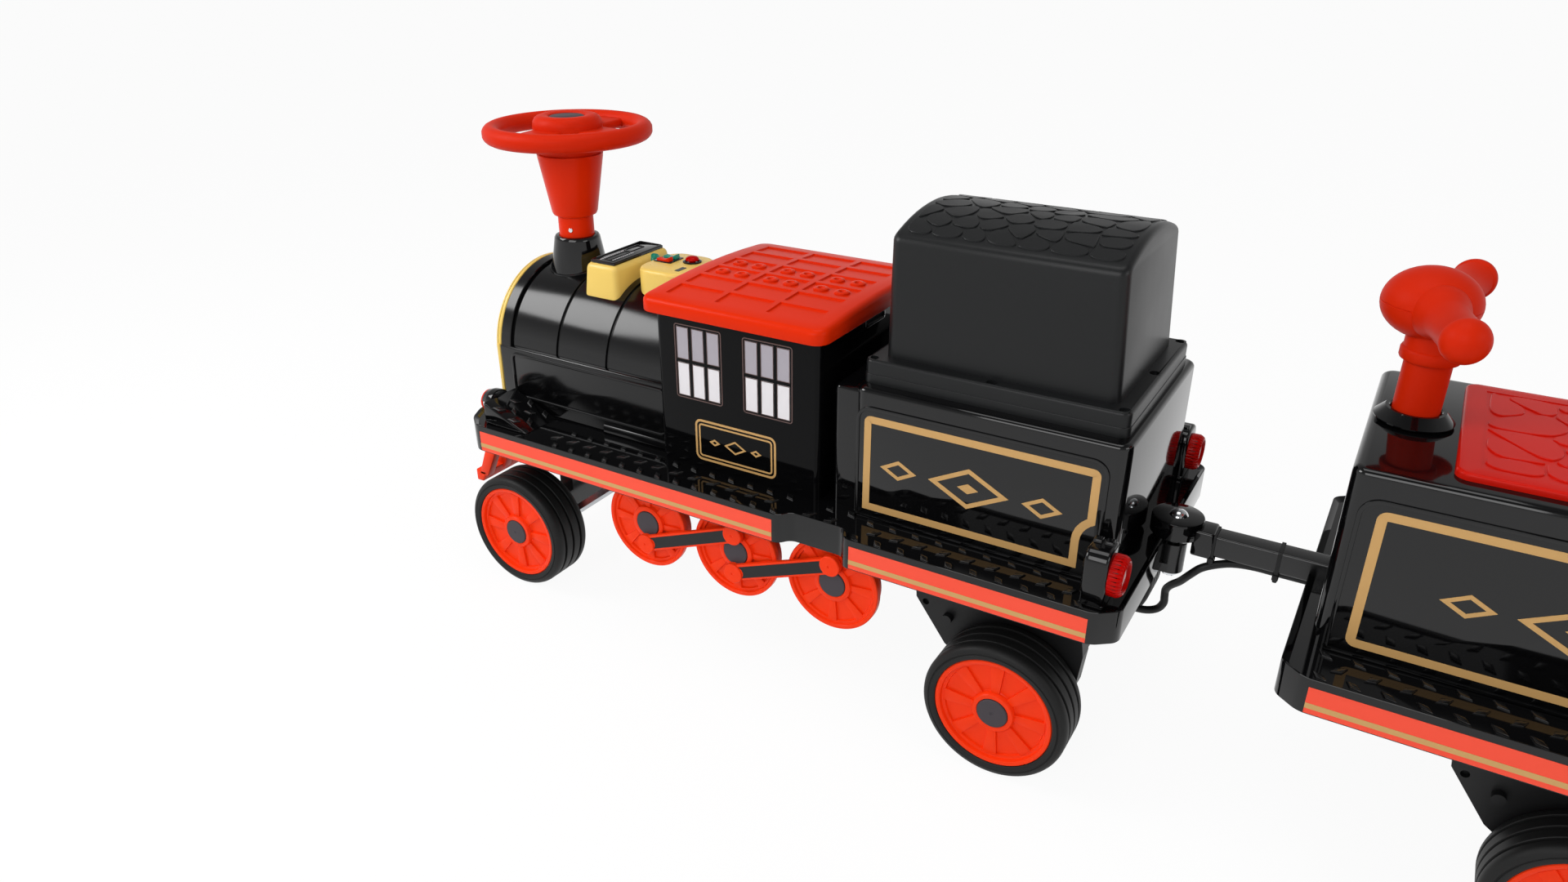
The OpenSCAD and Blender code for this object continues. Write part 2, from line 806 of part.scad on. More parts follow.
module battery() {
  middle = (cab_rear + cab_front) / 2;
  color([0.25, 0.26, 0.28]) place() {
    translate([middle - battery_l / 2, -battery_w / 2, 0]) cube([battery_l, battery_w, battery_h]);
    for (y = [-1, 1]) translate([middle - battery_l / 2 + 12, y * battery_w / 3 - 4, battery_h])
      cube([10, 8, 6]);
  }
}

// Places of the seat screws on the flange
function screw_places() = let (x0 = tender_rear + flange_in + seat_step / 2, x1 = seat_front - seat_step / 2,
  y = flange_half - seat_step / 2)
  [[x0, -y], [x0, 0], [x0, y], [(x0 + x1) / 2, -y], [(x0 + x1) / 2, y], [x1, -y], [x1, 0], [x1, y]];

module tender_shell() {
  color(black) place() difference() {
    union() {
      body_block(tender_rear, tender_front, tender_half, 0, tender_h, body_round, top_round);
      slab(tender_front - body_round - 1, tender_front + neck_l, tender_half - neck_in, 0,
        tender_h - top_round);
    }
    translate([0, 0, -1]) linear_extrude(tender_h - wall + 1)
      rounded_plan(tender_rear + wall, tender_front - wall, tender_half - neck_in - wall, body_round);
    slab(tender_front - body_round - wall, tender_front + neck_l - wall, tender_half - neck_in - wall, -1,
      tender_h - top_round - wall);
    for (p = screw_places()) post(p[0], p[1], tender_h - wall - 1, tender_h + 1, screw_r + fit);
  }
}

module seat_box() {
  x0 = tender_rear + flange_in;
  box_half = flange_half - seat_step;
  color(black) place() difference() {
    union() {
      body_block(x0, seat_front, flange_half, tender_h, flange_top, 10, 5);
      crowned_block(x0 + seat_step, seat_front - seat_step, box_half, flange_top - 1, seat_edge, seat_crown,
        seat_round);
    }
    translate([0, 0, tender_h - 1]) linear_extrude(seat_edge - wall - tender_h + 1)
      rounded_plan(x0 + seat_step + wall, seat_front - seat_step - wall, box_half - wall, seat_round - wall);
    for (p = screw_places()) {
      post(p[0], p[1], flange_top - screw_recess, flange_top + 1, screw_head_r + 1);
      post(p[0], p[1], tender_h - 1, flange_top, screw_r + fit);
    }
  }
}

module seat_screws() {
  seat = flange_top - screw_recess;
  color(steel) place() for (p = screw_places()) {
    post(p[0], p[1], tender_h - wall - 6, seat + 1, screw_r);
    post(p[0], p[1], seat, seat + 3, screw_head_r);
  }
}

module headlamp_rings() {
  bore = headlamp_rim_r - 3;
  color(red) place() pair()
    translate([wedge_front, headlamp_y, headlamp_r + eps]) rotate([0, 90, 0]) rotate_extrude()
      polygon([[0, 0], [headlamp_r, 0], [headlamp_r, headlamp_l * 0.45], [headlamp_rim_r, headlamp_l],
        [bore, headlamp_l], [bore, 3], [0, 3]]);
}

module headlamp_lenses() {
  lens_r = headlamp_rim_r - 3 - seat_gap;
  color([0.9, 0.92, 0.95]) place() pair()
    translate([wedge_front + 3, headlamp_y, headlamp_r]) rotate([0, 90, 0]) rotate_extrude()
      polygon([[0, 0], [lens_r, 0], [lens_r, headlamp_l - 6], [lens_r * 0.7, headlamp_l - 3],
        [0, headlamp_l - 2]]);
}

module tail_lamp_housings() {
  front = tender_rear + tail_case_l - 5;
  top = tail_z + tail_r + 5;
  color(black) place() pair() {
    along_x(front - tail_case_l, front) {
      translate([tail_y - tail_r, 0]) square([2 * tail_r, top - tail_r]);
      translate([tail_y, top - tail_r]) circle(tail_r);
    }
    for (dx = [7, 18]) translate([front - dx - 3, tail_y - 11, top - 6]) cube([6, 12, 11]);
  }
}

module tail_lamp_lenses() {
  seat = tender_rear - 5;
  lens_r = tail_r - 1;
  color([0.75, 0.03, 0.03]) place() pair()
    translate([seat, tail_y, tail_z - 2]) rotate([0, -90, 0]) rotate_extrude()
      polygon([[0, 0], [lens_r, 0], [lens_r, tail_l - 5], [lens_r - 5, tail_l], [lens_r - 7, tail_l - 2],
        [0, tail_l - 1]]);
}

module pilot() {
  low = -skirt_h - pilot_h;
  pitch = 2 * (pilot_half - pilot_bar_w / 2) / (pilot_bars - 1);
  color(red) place() {
    slab(pilot_top_x - 8, board_front, pilot_half, -skirt_h - 8, -skirt_h);
    for (i = [0 : pilot_bars - 1])
      along_y(-pilot_half + i * pitch, -pilot_half + i * pitch + pilot_bar_w)
        polygon([[pilot_top_x - 4, -skirt_h - 4], [board_front, -skirt_h - 4], [pilot_bar_x + pilot_t, low],
          [pilot_bar_x - pilot_t + 1, low]]);
    along_y(-pilot_half, pilot_half)
      polygon([[pilot_bar_x - pilot_t + 1, low + 7], [pilot_front, low + 7], [pilot_front, low - 11],
        [pilot_front - 12, low - 11]]);
  }
}

// A wheel profile turned about an axle along Y, with its inner edge at y
module turned(x, y, z) {
  translate([x, y, z]) rotate([-90, 0, 0]) rotate_extrude() children();
}

// Raised spokes on a disc, drawn from r0 to r1 and lifted by rise
module spoke_ring(count, r0, r1, w0, w1, rise) {
  for (i = [0 : count - 1]) rotate(i * 360 / count) linear_extrude(rise)
    polygon([[r0, -w0 / 2], [r1, -w1 / 2], [r1, w1 / 2], [r0, w0 / 2]]);
}

module dummy_wheels() {
  y0 = dummy_face_y - dummy_w;
  cap = 17;
  color(red) place() pair() for (i = [0 : 2]) {
    x = dummy_x - i * dummy_pitch;
    turned(x, y0, -dummy_drop) polygon([[0, 0], [dummy_r - 6, 0], [dummy_r - 6, dummy_w - 8],
      [dummy_r, dummy_w - 8], [dummy_r, dummy_w], [dummy_r - 6, dummy_w], [dummy_r - 8, dummy_w - 6],
      [cap + 7, dummy_w - 6], [cap + 6, dummy_w - 1], [cap, dummy_w - 1], [cap, dummy_w - 3],
      [0, dummy_w - 3]]);
    translate([x, y0 + dummy_w - 6 - eps, -dummy_drop]) rotate([-90, 0, 0])
      spoke_ring(spokes, cap + 5, dummy_r - 7, 7, 12.5, 3);
    pin_y(x, -dummy_drop, y0 + dummy_w - 3, dummy_face_y, cap - seat_gap);
  }
}

// Rod between two wheel pins, from the lower pin of one wheel to the upper pin of the next
module coupling_rods() {
  drop = 2 * rod_throw;
  length = sqrt(dummy_pitch * dummy_pitch + drop * drop);
  lean = atan2(drop, dummy_pitch);
  color(red) place() pair() for (i = [0, 1])
    translate([dummy_x - i * dummy_pitch, dummy_face_y, -dummy_drop - rod_throw]) rotate([0, lean, 0]) {
      translate([-length, 0, -rod_w / 2]) cube([length, rod_t, rod_w]);
      for (x = [0, -length]) pin_y(x, 0, 0, rod_t + 2, rod_pin_r);
    }
}

// Upright lug outline at a kingpin, from the beam's end
module lug(z0) {
  translate([front_axle_x - beam_l / 2, kingpin_y - 16, z0]) cube([beam_l, 16, lug_t]);
  post(front_axle_x, kingpin_y, z0, z0 + lug_t, beam_l / 2);
}

module front_axle_beam() {
  end = kingpin_y - knuckle_r - 6;
  bolt_top = beam_top + 5;
  color(steel) place() {
    difference() {
      union() {
        slab(front_axle_x - beam_l / 2, front_axle_x + beam_l / 2, end, beam_low, beam_top);
        pair() {
          lug(beam_low);
          lug(beam_top - lug_t);
          translate([front_axle_x - beam_l / 2, rail_y - 10, beam_top - 1])
            cube([beam_l, 20, rail_top - tube - beam_top + 1]);
        }
      }
      pair() post(front_axle_x, kingpin_y, beam_low - 1, beam_top + 1, kingpin_r + fit);
      post(front_axle_x, 0, beam_top - 16, beam_top + 1, shaft_r - 2 + fit);
    }
    pair() {
      post(front_axle_x, kingpin_y, beam_low - 6, bolt_top - 4, kingpin_r);
      post(front_axle_x, kingpin_y, beam_top, bolt_top, kingpin_r + 3.5);
    }
  }
}

module knuckle() {
  end = front_face_y - tyre_w + cap_seat - 3;
  hub_in = front_face_y - tyre_w;
  difference() {
    union() {
      post(front_axle_x, kingpin_y, axle_z - knuckle_h / 2 + seat_gap, axle_z + knuckle_h / 2 - seat_gap,
        knuckle_r);
      translate([tie_x, kingpin_y - 6, arm_z]) cube([arm_l, 12, arm_t]);
      post(tie_x, kingpin_y, arm_z, arm_z + arm_t, 8);
      pin_y(front_axle_x, axle_z, kingpin_y, end, axle_r);
      pin_y(front_axle_x, axle_z, kingpin_y, hub_in + 1, axle_r + 3);
      post(tie_x, kingpin_y, arm_z, arm_z + arm_t + tie_t + 3, tie_pin_r);
    }
    post(front_axle_x, kingpin_y, beam_low - 1, beam_top + 1, kingpin_r + fit);
  }
  axle_nut(front_axle_x, hub_in);
}

module knuckle_left() {
  color(steel) place() knuckle();
}

module knuckle_right() {
  color(steel) place() mirror([0, 1, 0]) knuckle();
}

module tie_rod() {
  low = arm_z + arm_t + seat_gap;
  color(steel) place() difference() {
    union() {
      slab(tie_x - 7, tie_x + 7, kingpin_y, low, low + tie_t);
      for (y = [-kingpin_y, 0, kingpin_y]) post(tie_x, y, low, low + tie_t, 10);
    }
    for (y = [-kingpin_y, 0, kingpin_y]) post(tie_x, y, low - 1, low + tie_t + 1, tie_pin_r + fit);
  }
}

module steering_shaft() {
  color(steel) place() {
    post(front_axle_x, 0, crank_z, sw_z - 5, shaft_r);
    post(front_axle_x, 0, beam_top - 15, crank_z + 1, shaft_r - 2);
    translate([tie_x, -7, crank_z]) cube([arm_l, 14, 8]);
    post(front_axle_x, 0, crank_z, crank_z + 8, 12);
    post(tie_x, 0, crank_z, crank_z + 8, 10);
    post(tie_x, 0, arm_z + arm_t + seat_gap - 1, crank_z + 1, tie_pin_r);
  }
}

module funnel_sleeve() {
  bore = shaft_r + seat_gap;
  top = sw_z - sw_drop;
  color(red) place() translate([front_axle_x, 0, 0]) rotate_extrude()
    polygon([[bore, chimney_top - 14], [funnel_tube_r, chimney_top - 14], [funnel_tube_r, funnel_z],
      [funnel_foot_r, funnel_z], [funnel_foot_r + 0.5, funnel_z + 5], [funnel_r, top], [bore, top]]);
}

module steering_wheel() {
  top = hub_face;
  bore = shaft_r + seat_gap;
  rim = sw_r - sw_tube_r;
  color(red) place() translate([front_axle_x, 0, 0]) {
    difference() {
      union() {
        translate([0, 0, sw_z]) rotate_extrude() translate([rim, 0]) circle(sw_tube_r);
        rotate_extrude() polygon([[0, sw_z - sw_drop], [funnel_r - 6, sw_z - sw_drop], [sw_hub_r, sw_z - 10],
          [sw_hub_r, top - 11], [sw_hub_r - 3, top - 4], [sw_hub_r - 10, top], [0, top]]);
        for (a = [90, 180, 270]) rotate(a) translate([0, -20, sw_z - 6]) cube([rim, 40, 12]);
      }
      post(0, 0, sw_z - sw_drop - 1, sw_z - 4, bore);
      post(0, 0, top - 2, top + 1, sw_hub_r / 2 + seat_gap);
    }
    post(0, 0, top - 2, top + 0.5, sw_hub_r / 2);
  }
}

// Tyre with three tread grooves; its outer face is at y = face
module tyre(x, face) {
  s = tyre_w;
  r = wheel_r;
  bead = rim_r + seat_gap;
  turned(x, face - s, axle_z) polygon([[bead, 2], [bead + 5, 0], [r - 7, 0], [r - 2, 3], [r, 8],
    for (i = [1 : 3]) each [[r, i * s / 4 - groove_w / 2], [r - groove_d, i * s / 4 - groove_w / 2 + 0.5],
      [r - groove_d, i * s / 4 + groove_w / 2 - 0.5], [r, i * s / 4 + groove_w / 2]],
    [r, s - 8], [r - 2, s - 3], [r - 7, s], [bead + 5, s], [bead, s - 2]]);
}

// Rim with raised spokes, and the cap over its axle nut
module rim(x, face) {
  s = tyre_w;
  bore = axle_r + fit;
  y0 = face - s;
  turned(x, y0, axle_z) polygon([[bore, 3], [20, 3], [20, hub_bore_end], [rim_r - 4, hub_bore_end],
    [rim_r - 4, 3], [rim_r, 3], [rim_r, s - 3], [rim_r - 1, s - 2], [rim_r - 5, s - 2],
    [rim_r - 7, hub_web], [hub_r, hub_web], [hub_r - 1, s - 3], [cap_r + seat_gap, s - 3],
    [cap_r + seat_gap, cap_seat], [nut_pocket_r, cap_seat], [nut_pocket_r, hub_bore_end],
    [bore, hub_bore_end]]);
  translate([x, y0 + hub_web - eps, axle_z]) rotate([-90, 0, 0])
    spoke_ring(spokes, hub_r - 1, rim_r - 6, 9, 16, 2.8);
  pin_y(x, axle_z, y0 + cap_seat, y0 + s - 2, cap_r);
}

// Hexagon nut that keeps a wheel on its axle; the wheel's inner face is at y
module axle_nut(x, y) {
  difference() {
    translate([x, y + hub_bore_end + seat_gap + nut_t, axle_z]) rotate([90, 0, 0])
      cylinder(r = nut_r, h = nut_t, $fn = 6);
    pin_y(x, axle_z, y, y + tyre_w, axle_r + fit);
  }
}

module front_tyre_left() {
  color(rubber) place() tyre(front_axle_x, front_face_y);
}

module front_tyre_right() {
  color(rubber) place() mirror([0, 1, 0]) tyre(front_axle_x, front_face_y);
}

module front_rim_left() {
  color(red) place() rim(front_axle_x, front_face_y);
}

module front_rim_right() {
  color(red) place() mirror([0, 1, 0]) rim(front_axle_x, front_face_y);
}

module rear_tyre_left() {
  color(rubber) place() tyre(rear_axle_x, rear_face_y);
}

module rear_tyre_right() {
  color(rubber) place() mirror([0, 1, 0]) tyre(rear_axle_x, rear_face_y);
}

module rear_rim_left() {
  color(red) place() rim(rear_axle_x, rear_face_y);
}

module rear_rim_right() {
  color(red) place() mirror([0, 1, 0]) rim(rear_axle_x, rear_face_y);
}

module wagon_tyre_left() {
  color(rubber) place() tyre(wagon_axle_x, rear_face_y);
}

module wagon_tyre_right() {
  color(rubber) place() mirror([0, 1, 0]) tyre(wagon_axle_x, rear_face_y);
}

module wagon_rim_left() {
  color(red) place() rim(wagon_axle_x, rear_face_y);
}

module wagon_rim_right() {
  color(red) place() mirror([0, 1, 0]) rim(wagon_axle_x, rear_face_y);
}

// Through axle with a nut at each end
module through_axle(x) {
  end = rear_face_y - tyre_w + cap_seat - 3;
  pin_y(x, axle_z, -end, end, axle_r);
  pair() axle_nut(x, rear_face_y - tyre_w);
}

module rear_axle() {
  color(steel) place() through_axle(rear_axle_x);
}

module wagon_axle() {
  color(steel) place() through_axle(wagon_axle_x);
}

// Gearbox hung under the tread on the left, with its motor can inboard
module drive_unit(x) {
  inner = gearbox_y - gearbox_t;
  motor_z = axle_z + 2.2 * motor_r;
  difference() {
    union() {
      along_y(inner, gearbox_y) polygon([[x - gearbox_rear + 14, rail_top], [x + gearbox_front, rail_top],
        [x + gearbox_front - 6, axle_z + 2.1 * gearbox_r],
        [x + gearbox_front - 44, axle_z + gearbox_r / 1.5],
        [x, axle_z - gearbox_r + 2], [x - gearbox_r + 2, axle_z],
        [x - gearbox_rear + 4, motor_z - motor_r], [x - gearbox_rear, motor_z + motor_r]]);
      pin_y(x, axle_z, inner, gearbox_y, gearbox_r);
      pin_y(x + gearbox_front - 47, axle_z + 1.7 * gearbox_r, gearbox_y - 1, gearbox_y + 8, 6);
    }
    pin_y(x, axle_z, inner - 1, gearbox_y + 1, axle_r + fit);
    pin_y(x + gearbox_front - 18, axle_z + 2 * gearbox_r, gearbox_y - 6, gearbox_y + 1, 4);
  }
  pin_y(x - motor_x, motor_z, inner - motor_l, inner, motor_r);
}

module drive_units() {
  color(black) place() pair() drive_unit(rear_axle_x);
}

module wagon_drive_units() {
  color(black) place() pair() drive_unit(wagon_axle_x);
}

// Boss for a hitch bolt, with a spacer up to the coupling eye and a tongue under the frame
module hitch_boss(x, tongue_l) {
  difference() {
    union() {
      post(x, 0, bracket_low, -board_t - 0.5, hitch_boss_r);
      post(x, 0, -board_t - 1, eye_low - seat_gap, hitch_r + 1.5);
      translate([x, -hitch_boss_r, bracket_low])
        cube([tongue_l, 2 * hitch_boss_r, rail_top - tube - bracket_low]);
    }
    post(x, 0, bracket_low - 1, eye_low + 1, hitch_r + fit);
  }
}

module hitch_bracket() {
  color(black) place() hitch_boss(hitch_x, rail_rear + tube - hitch_x);
}

module wagon_hitch_bracket() {
  tongue = 60;
  top = -board_t - tube;
  color(black) place() {
    hitch_boss(wagon_hitch_x, tongue);
    translate([wagon_hitch_x + tongue - 20, -hitch_boss_r, top - 1])
      cube([20, 2 * hitch_boss_r, tube + 1]);
  }
}

module hitch_bolt() {
  color([0.8, 0.81, 0.83]) place() translate([hitch_x, 0, 0]) {
    post(0, 0, bracket_low - 8, eye_top + 2, hitch_r);
    difference() {
      translate([0, 0, eye_top - 6]) sphere(12);
      post(0, 0, eye_top - 30, eye_top, 20);
    }
    translate([0, 0, bracket_low - 6]) cylinder(r = 9, h = 6, $fn = 6);
  }
}

// Ring of points round a cable point, square to the cable's run
function cable_ring(i, sides) = let (
  last = len(cable_route) - 1,
  run = cable_route[min(i + 1, last)] - cable_route[max(i - 1, 0)],
  t = run / norm(run),
  n0 = cross([0, 1, 0], t),
  n = n0 / norm(n0),
  b = cross(t, n))
  [for (k = [0 : sides - 1])
    cable_route[i] + cable_r * (cos(360 * k / sides) * n + sin(360 * k / sides) * b)];

// Tube through the cable points from first to last
module cable_tube(first, last) {
  sides = 10;
  rings = last - first + 1;
  points = [for (i = [first : last]) each cable_ring(i, sides)];
  sleeve = [for (i = [0 : rings - 2], k = [0 : sides - 1])
    let (a = i * sides + k, c = i * sides + (k + 1) % sides)
    each [[a, c, c + sides], [a, c + sides, a + sides]]];
  front_end = [for (k = [1 : sides - 2]) [0, k + 1, k]];
  rear_end = [for (k = [1 : sides - 2]) [0, k, k + 1] + (rings - 1) * sides * [1, 1, 1]];
  polyhedron(points, concat(sleeve, front_end, rear_end));
}

module cable_front() {
  color(rubber) place() cable_tube(0, cable_cross);
}

module cable_rear() {
  color(rubber) place() cable_tube(cable_cross, len(cable_route) - 1);
}

module coupling_eye() {
  socket = tube / 2 + socket_t;
  color(black) place() difference() {
    union() {
      post(hitch_x, 0, eye_low, eye_top, eye_r);
      slab(hitch_x - eye_r - socket_l, hitch_x - eye_r + 8, socket, bar_z - socket, bar_z + socket);
    }
    post(hitch_x, 0, eye_low - 1, eye_top + 1, hitch_r + fit);
    slab(hitch_x - eye_r - socket_l - 1, hitch_x - eye_r - 2, tube / 2 + seat_gap / 2,
      bar_z - tube / 2 - seat_gap / 2, bar_z + tube / 2 + seat_gap / 2);
  }
}

module drawbar() {
  front = hitch_x - eye_r - 2.5;
  color([0.08, 0.08, 0.085]) place() frame_tube_x(front - drawbar_l, front, 0, bar_z + tube / 2);
}

// Slot for the drawbar and the cable in the wagon's front
module drawbar_slot() {
  slab(hitch_x - eye_r - drawbar_l - 3, wagon_front + 1, tube / 2 + seat_gap / 2,
    bar_z - tube / 2 - seat_gap / 2, bar_z + tube / 2 + seat_gap / 2);
  slab(wagon_front - skirt_t - 6, wagon_front + 1, tube / 2, bar_z - tube / 2 - 14, bar_z);
}

module wagon_board() {
  color(black) place() difference() {
    tray(closed(wagon_side(0)), closed(wagon_side(lip_w)), closed(wagon_side(skirt_t)));
    drawbar_slot();
    hitch_notch(wagon_rear);
  }
}

module wagon_body() {
  color(black) place() difference() {
    body_block(body_rear, body_front, wagon_half, 0, wagon_h, body_round, top_round);
    translate([0, 0, -1]) linear_extrude(wagon_h - wall + 1)
      rounded_plan(body_rear + wall, body_front - wall, wagon_half - wall, body_round - wall);
    drawbar_slot();
    post(body_front - handle_x, 0, wagon_h - wall - 1, wagon_h + 1, stem_r - 4);
  }
}

module wagon_seat() {
  front = body_front - panel_x;
  color(red) place() translate([0, 0, wagon_h]) linear_extrude(wagon_seat_t)
    rounded_plan(front - wagon_seat_l, front, wagon_seat_half, 12);
}

module handle_collar() {
  bore = stem_r + seat_gap;
  color(black) place() translate([body_front - handle_x, 0, wagon_h]) rotate_extrude()
    polygon([[bore, 0], [collar_r, 0], [collar_r, 3], [stem_r + 4, collar_h], [bore, collar_h]]);
}

module handle_stem() {
  color(red) place() translate([body_front - handle_x, 0, wagon_h]) {
    post(0, 0, 0, cuff_z, stem_r);
    post(0, 0, -20, 1, stem_r - 5);
  }
}

module handle_grip() {
  reach = sqrt(grip_half * grip_half + grip_back * grip_back);
  color(red) place() translate([body_front - handle_x, 0, wagon_h]) {
    post(0, 0, cuff_z, bulb_z - bulb_h / 2 + 2, cuff_r);
    translate([bulb_ahead, 0, bulb_z]) {
      rotate_extrude() polygon([[0, -bulb_h], for (a = [-85 : 10 : 85])
        [bulb_r * cos(a), bulb_h * sin(a)], [0, bulb_h]]);
      for (side = [-1, 1]) rotate([0, 0, side * atan2(grip_back, grip_half)]) {
        pin_y(0, 0, min(0, side * reach), max(0, side * reach), grip_r);
        translate([0, side * reach, 0]) sphere(ball_r);
      }
    }
  }
}

running_board();
chassis_frame();
boiler_shell();
smokebox_front();
chimney_base();
music_console();
music_panel();
switch_console();
cab_shell();
tender_shell();
seat_box();
seat_screws();
headlamp_rings();
headlamp_lenses();
tail_lamp_housings();
tail_lamp_lenses();
pilot();
dummy_wheels();
coupling_rods();
front_axle_beam();
rear_axle();
drive_units();
battery();
hitch_bracket();
hitch_bolt();
cable_front();
rocker_red();
rocker_green();
start_button();
cab_roof();
steering_wheel();
funnel_sleeve();
steering_shaft();
tie_rod();
knuckle_left();
knuckle_right();
front_tyre_left();
front_tyre_right();
front_rim_left();
front_rim_right();
rear_tyre_left();
rear_tyre_right();
rear_rim_left();
rear_rim_right();
wagon_tyre_left();
wagon_tyre_right();
wagon_rim_left();
wagon_rim_right();
wagon_board();
wagon_body();
wagon_seat();
handle_collar();
handle_stem();
handle_grip();
drawbar();
coupling_eye();
wagon_axle();
wagon_drive_units();
wagon_hitch_bracket();
cable_rear();
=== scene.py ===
import math
import random
import bpy
import bmesh
from mathutils import Matrix, Vector


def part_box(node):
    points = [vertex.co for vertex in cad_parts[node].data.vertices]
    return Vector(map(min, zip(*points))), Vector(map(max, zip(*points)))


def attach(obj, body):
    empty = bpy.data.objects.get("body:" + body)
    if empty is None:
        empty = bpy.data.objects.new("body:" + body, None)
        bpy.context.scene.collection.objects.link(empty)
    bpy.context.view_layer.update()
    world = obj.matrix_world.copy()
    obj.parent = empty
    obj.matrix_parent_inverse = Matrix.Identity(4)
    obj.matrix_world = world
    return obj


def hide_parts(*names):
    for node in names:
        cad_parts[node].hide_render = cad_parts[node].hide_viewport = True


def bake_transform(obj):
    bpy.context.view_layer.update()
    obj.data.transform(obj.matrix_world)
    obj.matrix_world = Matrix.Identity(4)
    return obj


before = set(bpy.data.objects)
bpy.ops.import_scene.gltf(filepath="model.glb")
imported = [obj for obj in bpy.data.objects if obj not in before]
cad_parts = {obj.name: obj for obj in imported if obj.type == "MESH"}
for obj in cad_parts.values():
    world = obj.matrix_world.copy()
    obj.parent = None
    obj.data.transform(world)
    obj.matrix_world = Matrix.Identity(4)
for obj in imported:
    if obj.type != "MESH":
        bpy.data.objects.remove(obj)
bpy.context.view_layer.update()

# the train is laid out in millimetres: x forward from the tender's rear, y to the left, z up from the tread
treadHeight = 0.242
cabRear = 349
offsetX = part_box("cab_shell")[0].x - cabRear * 0.001


def mm(x, y, z):
    return Vector((x * 0.001 + offsetX, y * 0.001, z * 0.001 + treadHeight))


toFrame = Matrix.Translation((offsetX, 0, treadHeight)) @ Matrix.Scale(0.001, 4)
sides = (1, -1)
clear = 0.1  # a piece stands this far off what it rests on
print("frame loaded:", len(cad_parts), "nodes")


# materials
def lin(hexColour):
    parts = [int(hexColour[i:i + 2], 16) / 255 for i in (1, 3, 5)]
    return [c / 12.92 if c <= 0.04045 else ((c + 0.055) / 1.055) ** 2.4 for c in parts] + [1]


def addNode(tree, kind, settings={}, links={}):
    node = tree.nodes.new(kind)
    for key, value in settings.items():
        if isinstance(key, int) or key in node.inputs:
            node.inputs[key].default_value = value
        else:
            setattr(node, key, value)
    for key, source in links.items():
        tree.links.new(source, node.inputs[key])
    return node


def newMaterial(name, settings):
    mat = bpy.data.materials.new(name)
    mat.use_nodes = True
    shader = mat.node_tree.nodes["Principled BSDF"]
    for key, value in settings.items():
        shader.inputs[key].default_value = value
    return mat, mat.node_tree, shader


def grained(name, settings, size, depth, spread, roughness):
    # moulded grain in millimetres: a fine bump, and a little unevenness in the gloss
    mat, tree, shader = newMaterial(name, settings)
    where = addNode(tree, "ShaderNodeTexCoord").outputs["Object"]
    grain = addNode(tree, "ShaderNodeTexNoise", {"Scale": 1000 / size, "Detail": 3}, {"Vector": where})
    bump = addNode(tree, "ShaderNodeBump", {"Strength": 0.5, "Distance": depth * 0.001},
                   {"Height": grain.outputs["Fac"]})
    tree.links.new(bump.outputs["Normal"], shader.inputs["Normal"])
    cloud = addNode(tree, "ShaderNodeTexNoise", {"Scale": 12, "Detail": 2}, {"Vector": where})
    gloss = addNode(tree, "ShaderNodeMapRange", {"To Min": roughness - spread, "To Max": roughness + spread},
                    {"Value": cloud.outputs["Fac"]})
    tree.links.new(gloss.outputs["Result"], shader.inputs["Roughness"])
    return mat


def plastic(name, colour, shine, **grain):
    return grained(name, {"Base Color": lin(colour), "Specular IOR Level": shine}, **grain)


def glossBlackAbs(name, shine, roughness=0.06):
    # polished mould: deep black that mirrors the room
    return plastic(name, "#070708", shine, size=40, depth=0.015, spread=0.02, roughness=roughness)


def satinBlackAbs():
    # grained mould: charcoal with broad soft highlights
    return plastic("black ABS, grained", "#131415", 0.27, size=2.5, depth=0.05, spread=0.05, roughness=0.37)


def redAbs():
    # orange-red pigment right through, smooth moulding
    return plastic("red ABS", "#D82A04", 0.07, size=30, depth=0.02, spread=0.04, roughness=0.3)


def seatRedAbs():
    # a deeper red with a fine grain
    return plastic("red ABS, seat", "#C6170A", 0.1, size=3, depth=0.04, spread=0.04, roughness=0.24)


def softRedPvc():
    # soft-touch grip: the same red, nearly matt
    return plastic("red PVC, soft touch", "#C82404", 0.07, size=2.5, depth=0.04, spread=0.05, roughness=0.48)


def orangeRedAbs():
    # the wheels and the pilot are moulded in a brighter, more orange red
    return plastic("orange-red ABS", "#F0380C", 0.12, size=30, depth=0.02, spread=0.04, roughness=0.34)


def yellowAbs():
    return plastic("yellow ABS", "#E6C465", 0.3, size=30, depth=0.02, spread=0.04, roughness=0.27)


def greenAbs():
    return plastic("green ABS", "#0C8A72", 0.5, size=30, depth=0.02, spread=0.04, roughness=0.25)


def tyreRubber():
    # moulded solid tyre, satin with dusty patches
    return plastic("tyre rubber", "#131313", 0.25, size=3, depth=0.06, spread=0.09, roughness=0.52)


def capPlastic():
    return plastic("polypropylene cap", "#3B363B", 0.3, size=2, depth=0.03, spread=0.04, roughness=0.5)


def gearboxPlastic():
    return plastic("black polypropylene", "#151516", 0.3, size=3, depth=0.05, spread=0.05, roughness=0.45)


def vinylFilm(name, colour):
    # printed film laid by hand: low waves and a satin face
    return plastic(name + " vinyl film", colour, 0.2, size=9, depth=0.03, spread=0.05, roughness=0.38)


def powderCoat():
    # black powder coat on square tube: slight orange peel
    return plastic("black powder coat", "#101011", 0.5, size=1.5, depth=0.05, spread=0.04, roughness=0.22)


def platedSteel(name, colour, size, spread, roughness):
    # plating: bright, with the drawn or turned surface showing through
    settings = {"Base Color": lin(colour), "Metallic": 1}
    return grained(name, settings, size=size, depth=0.02, spread=spread, roughness=roughness)


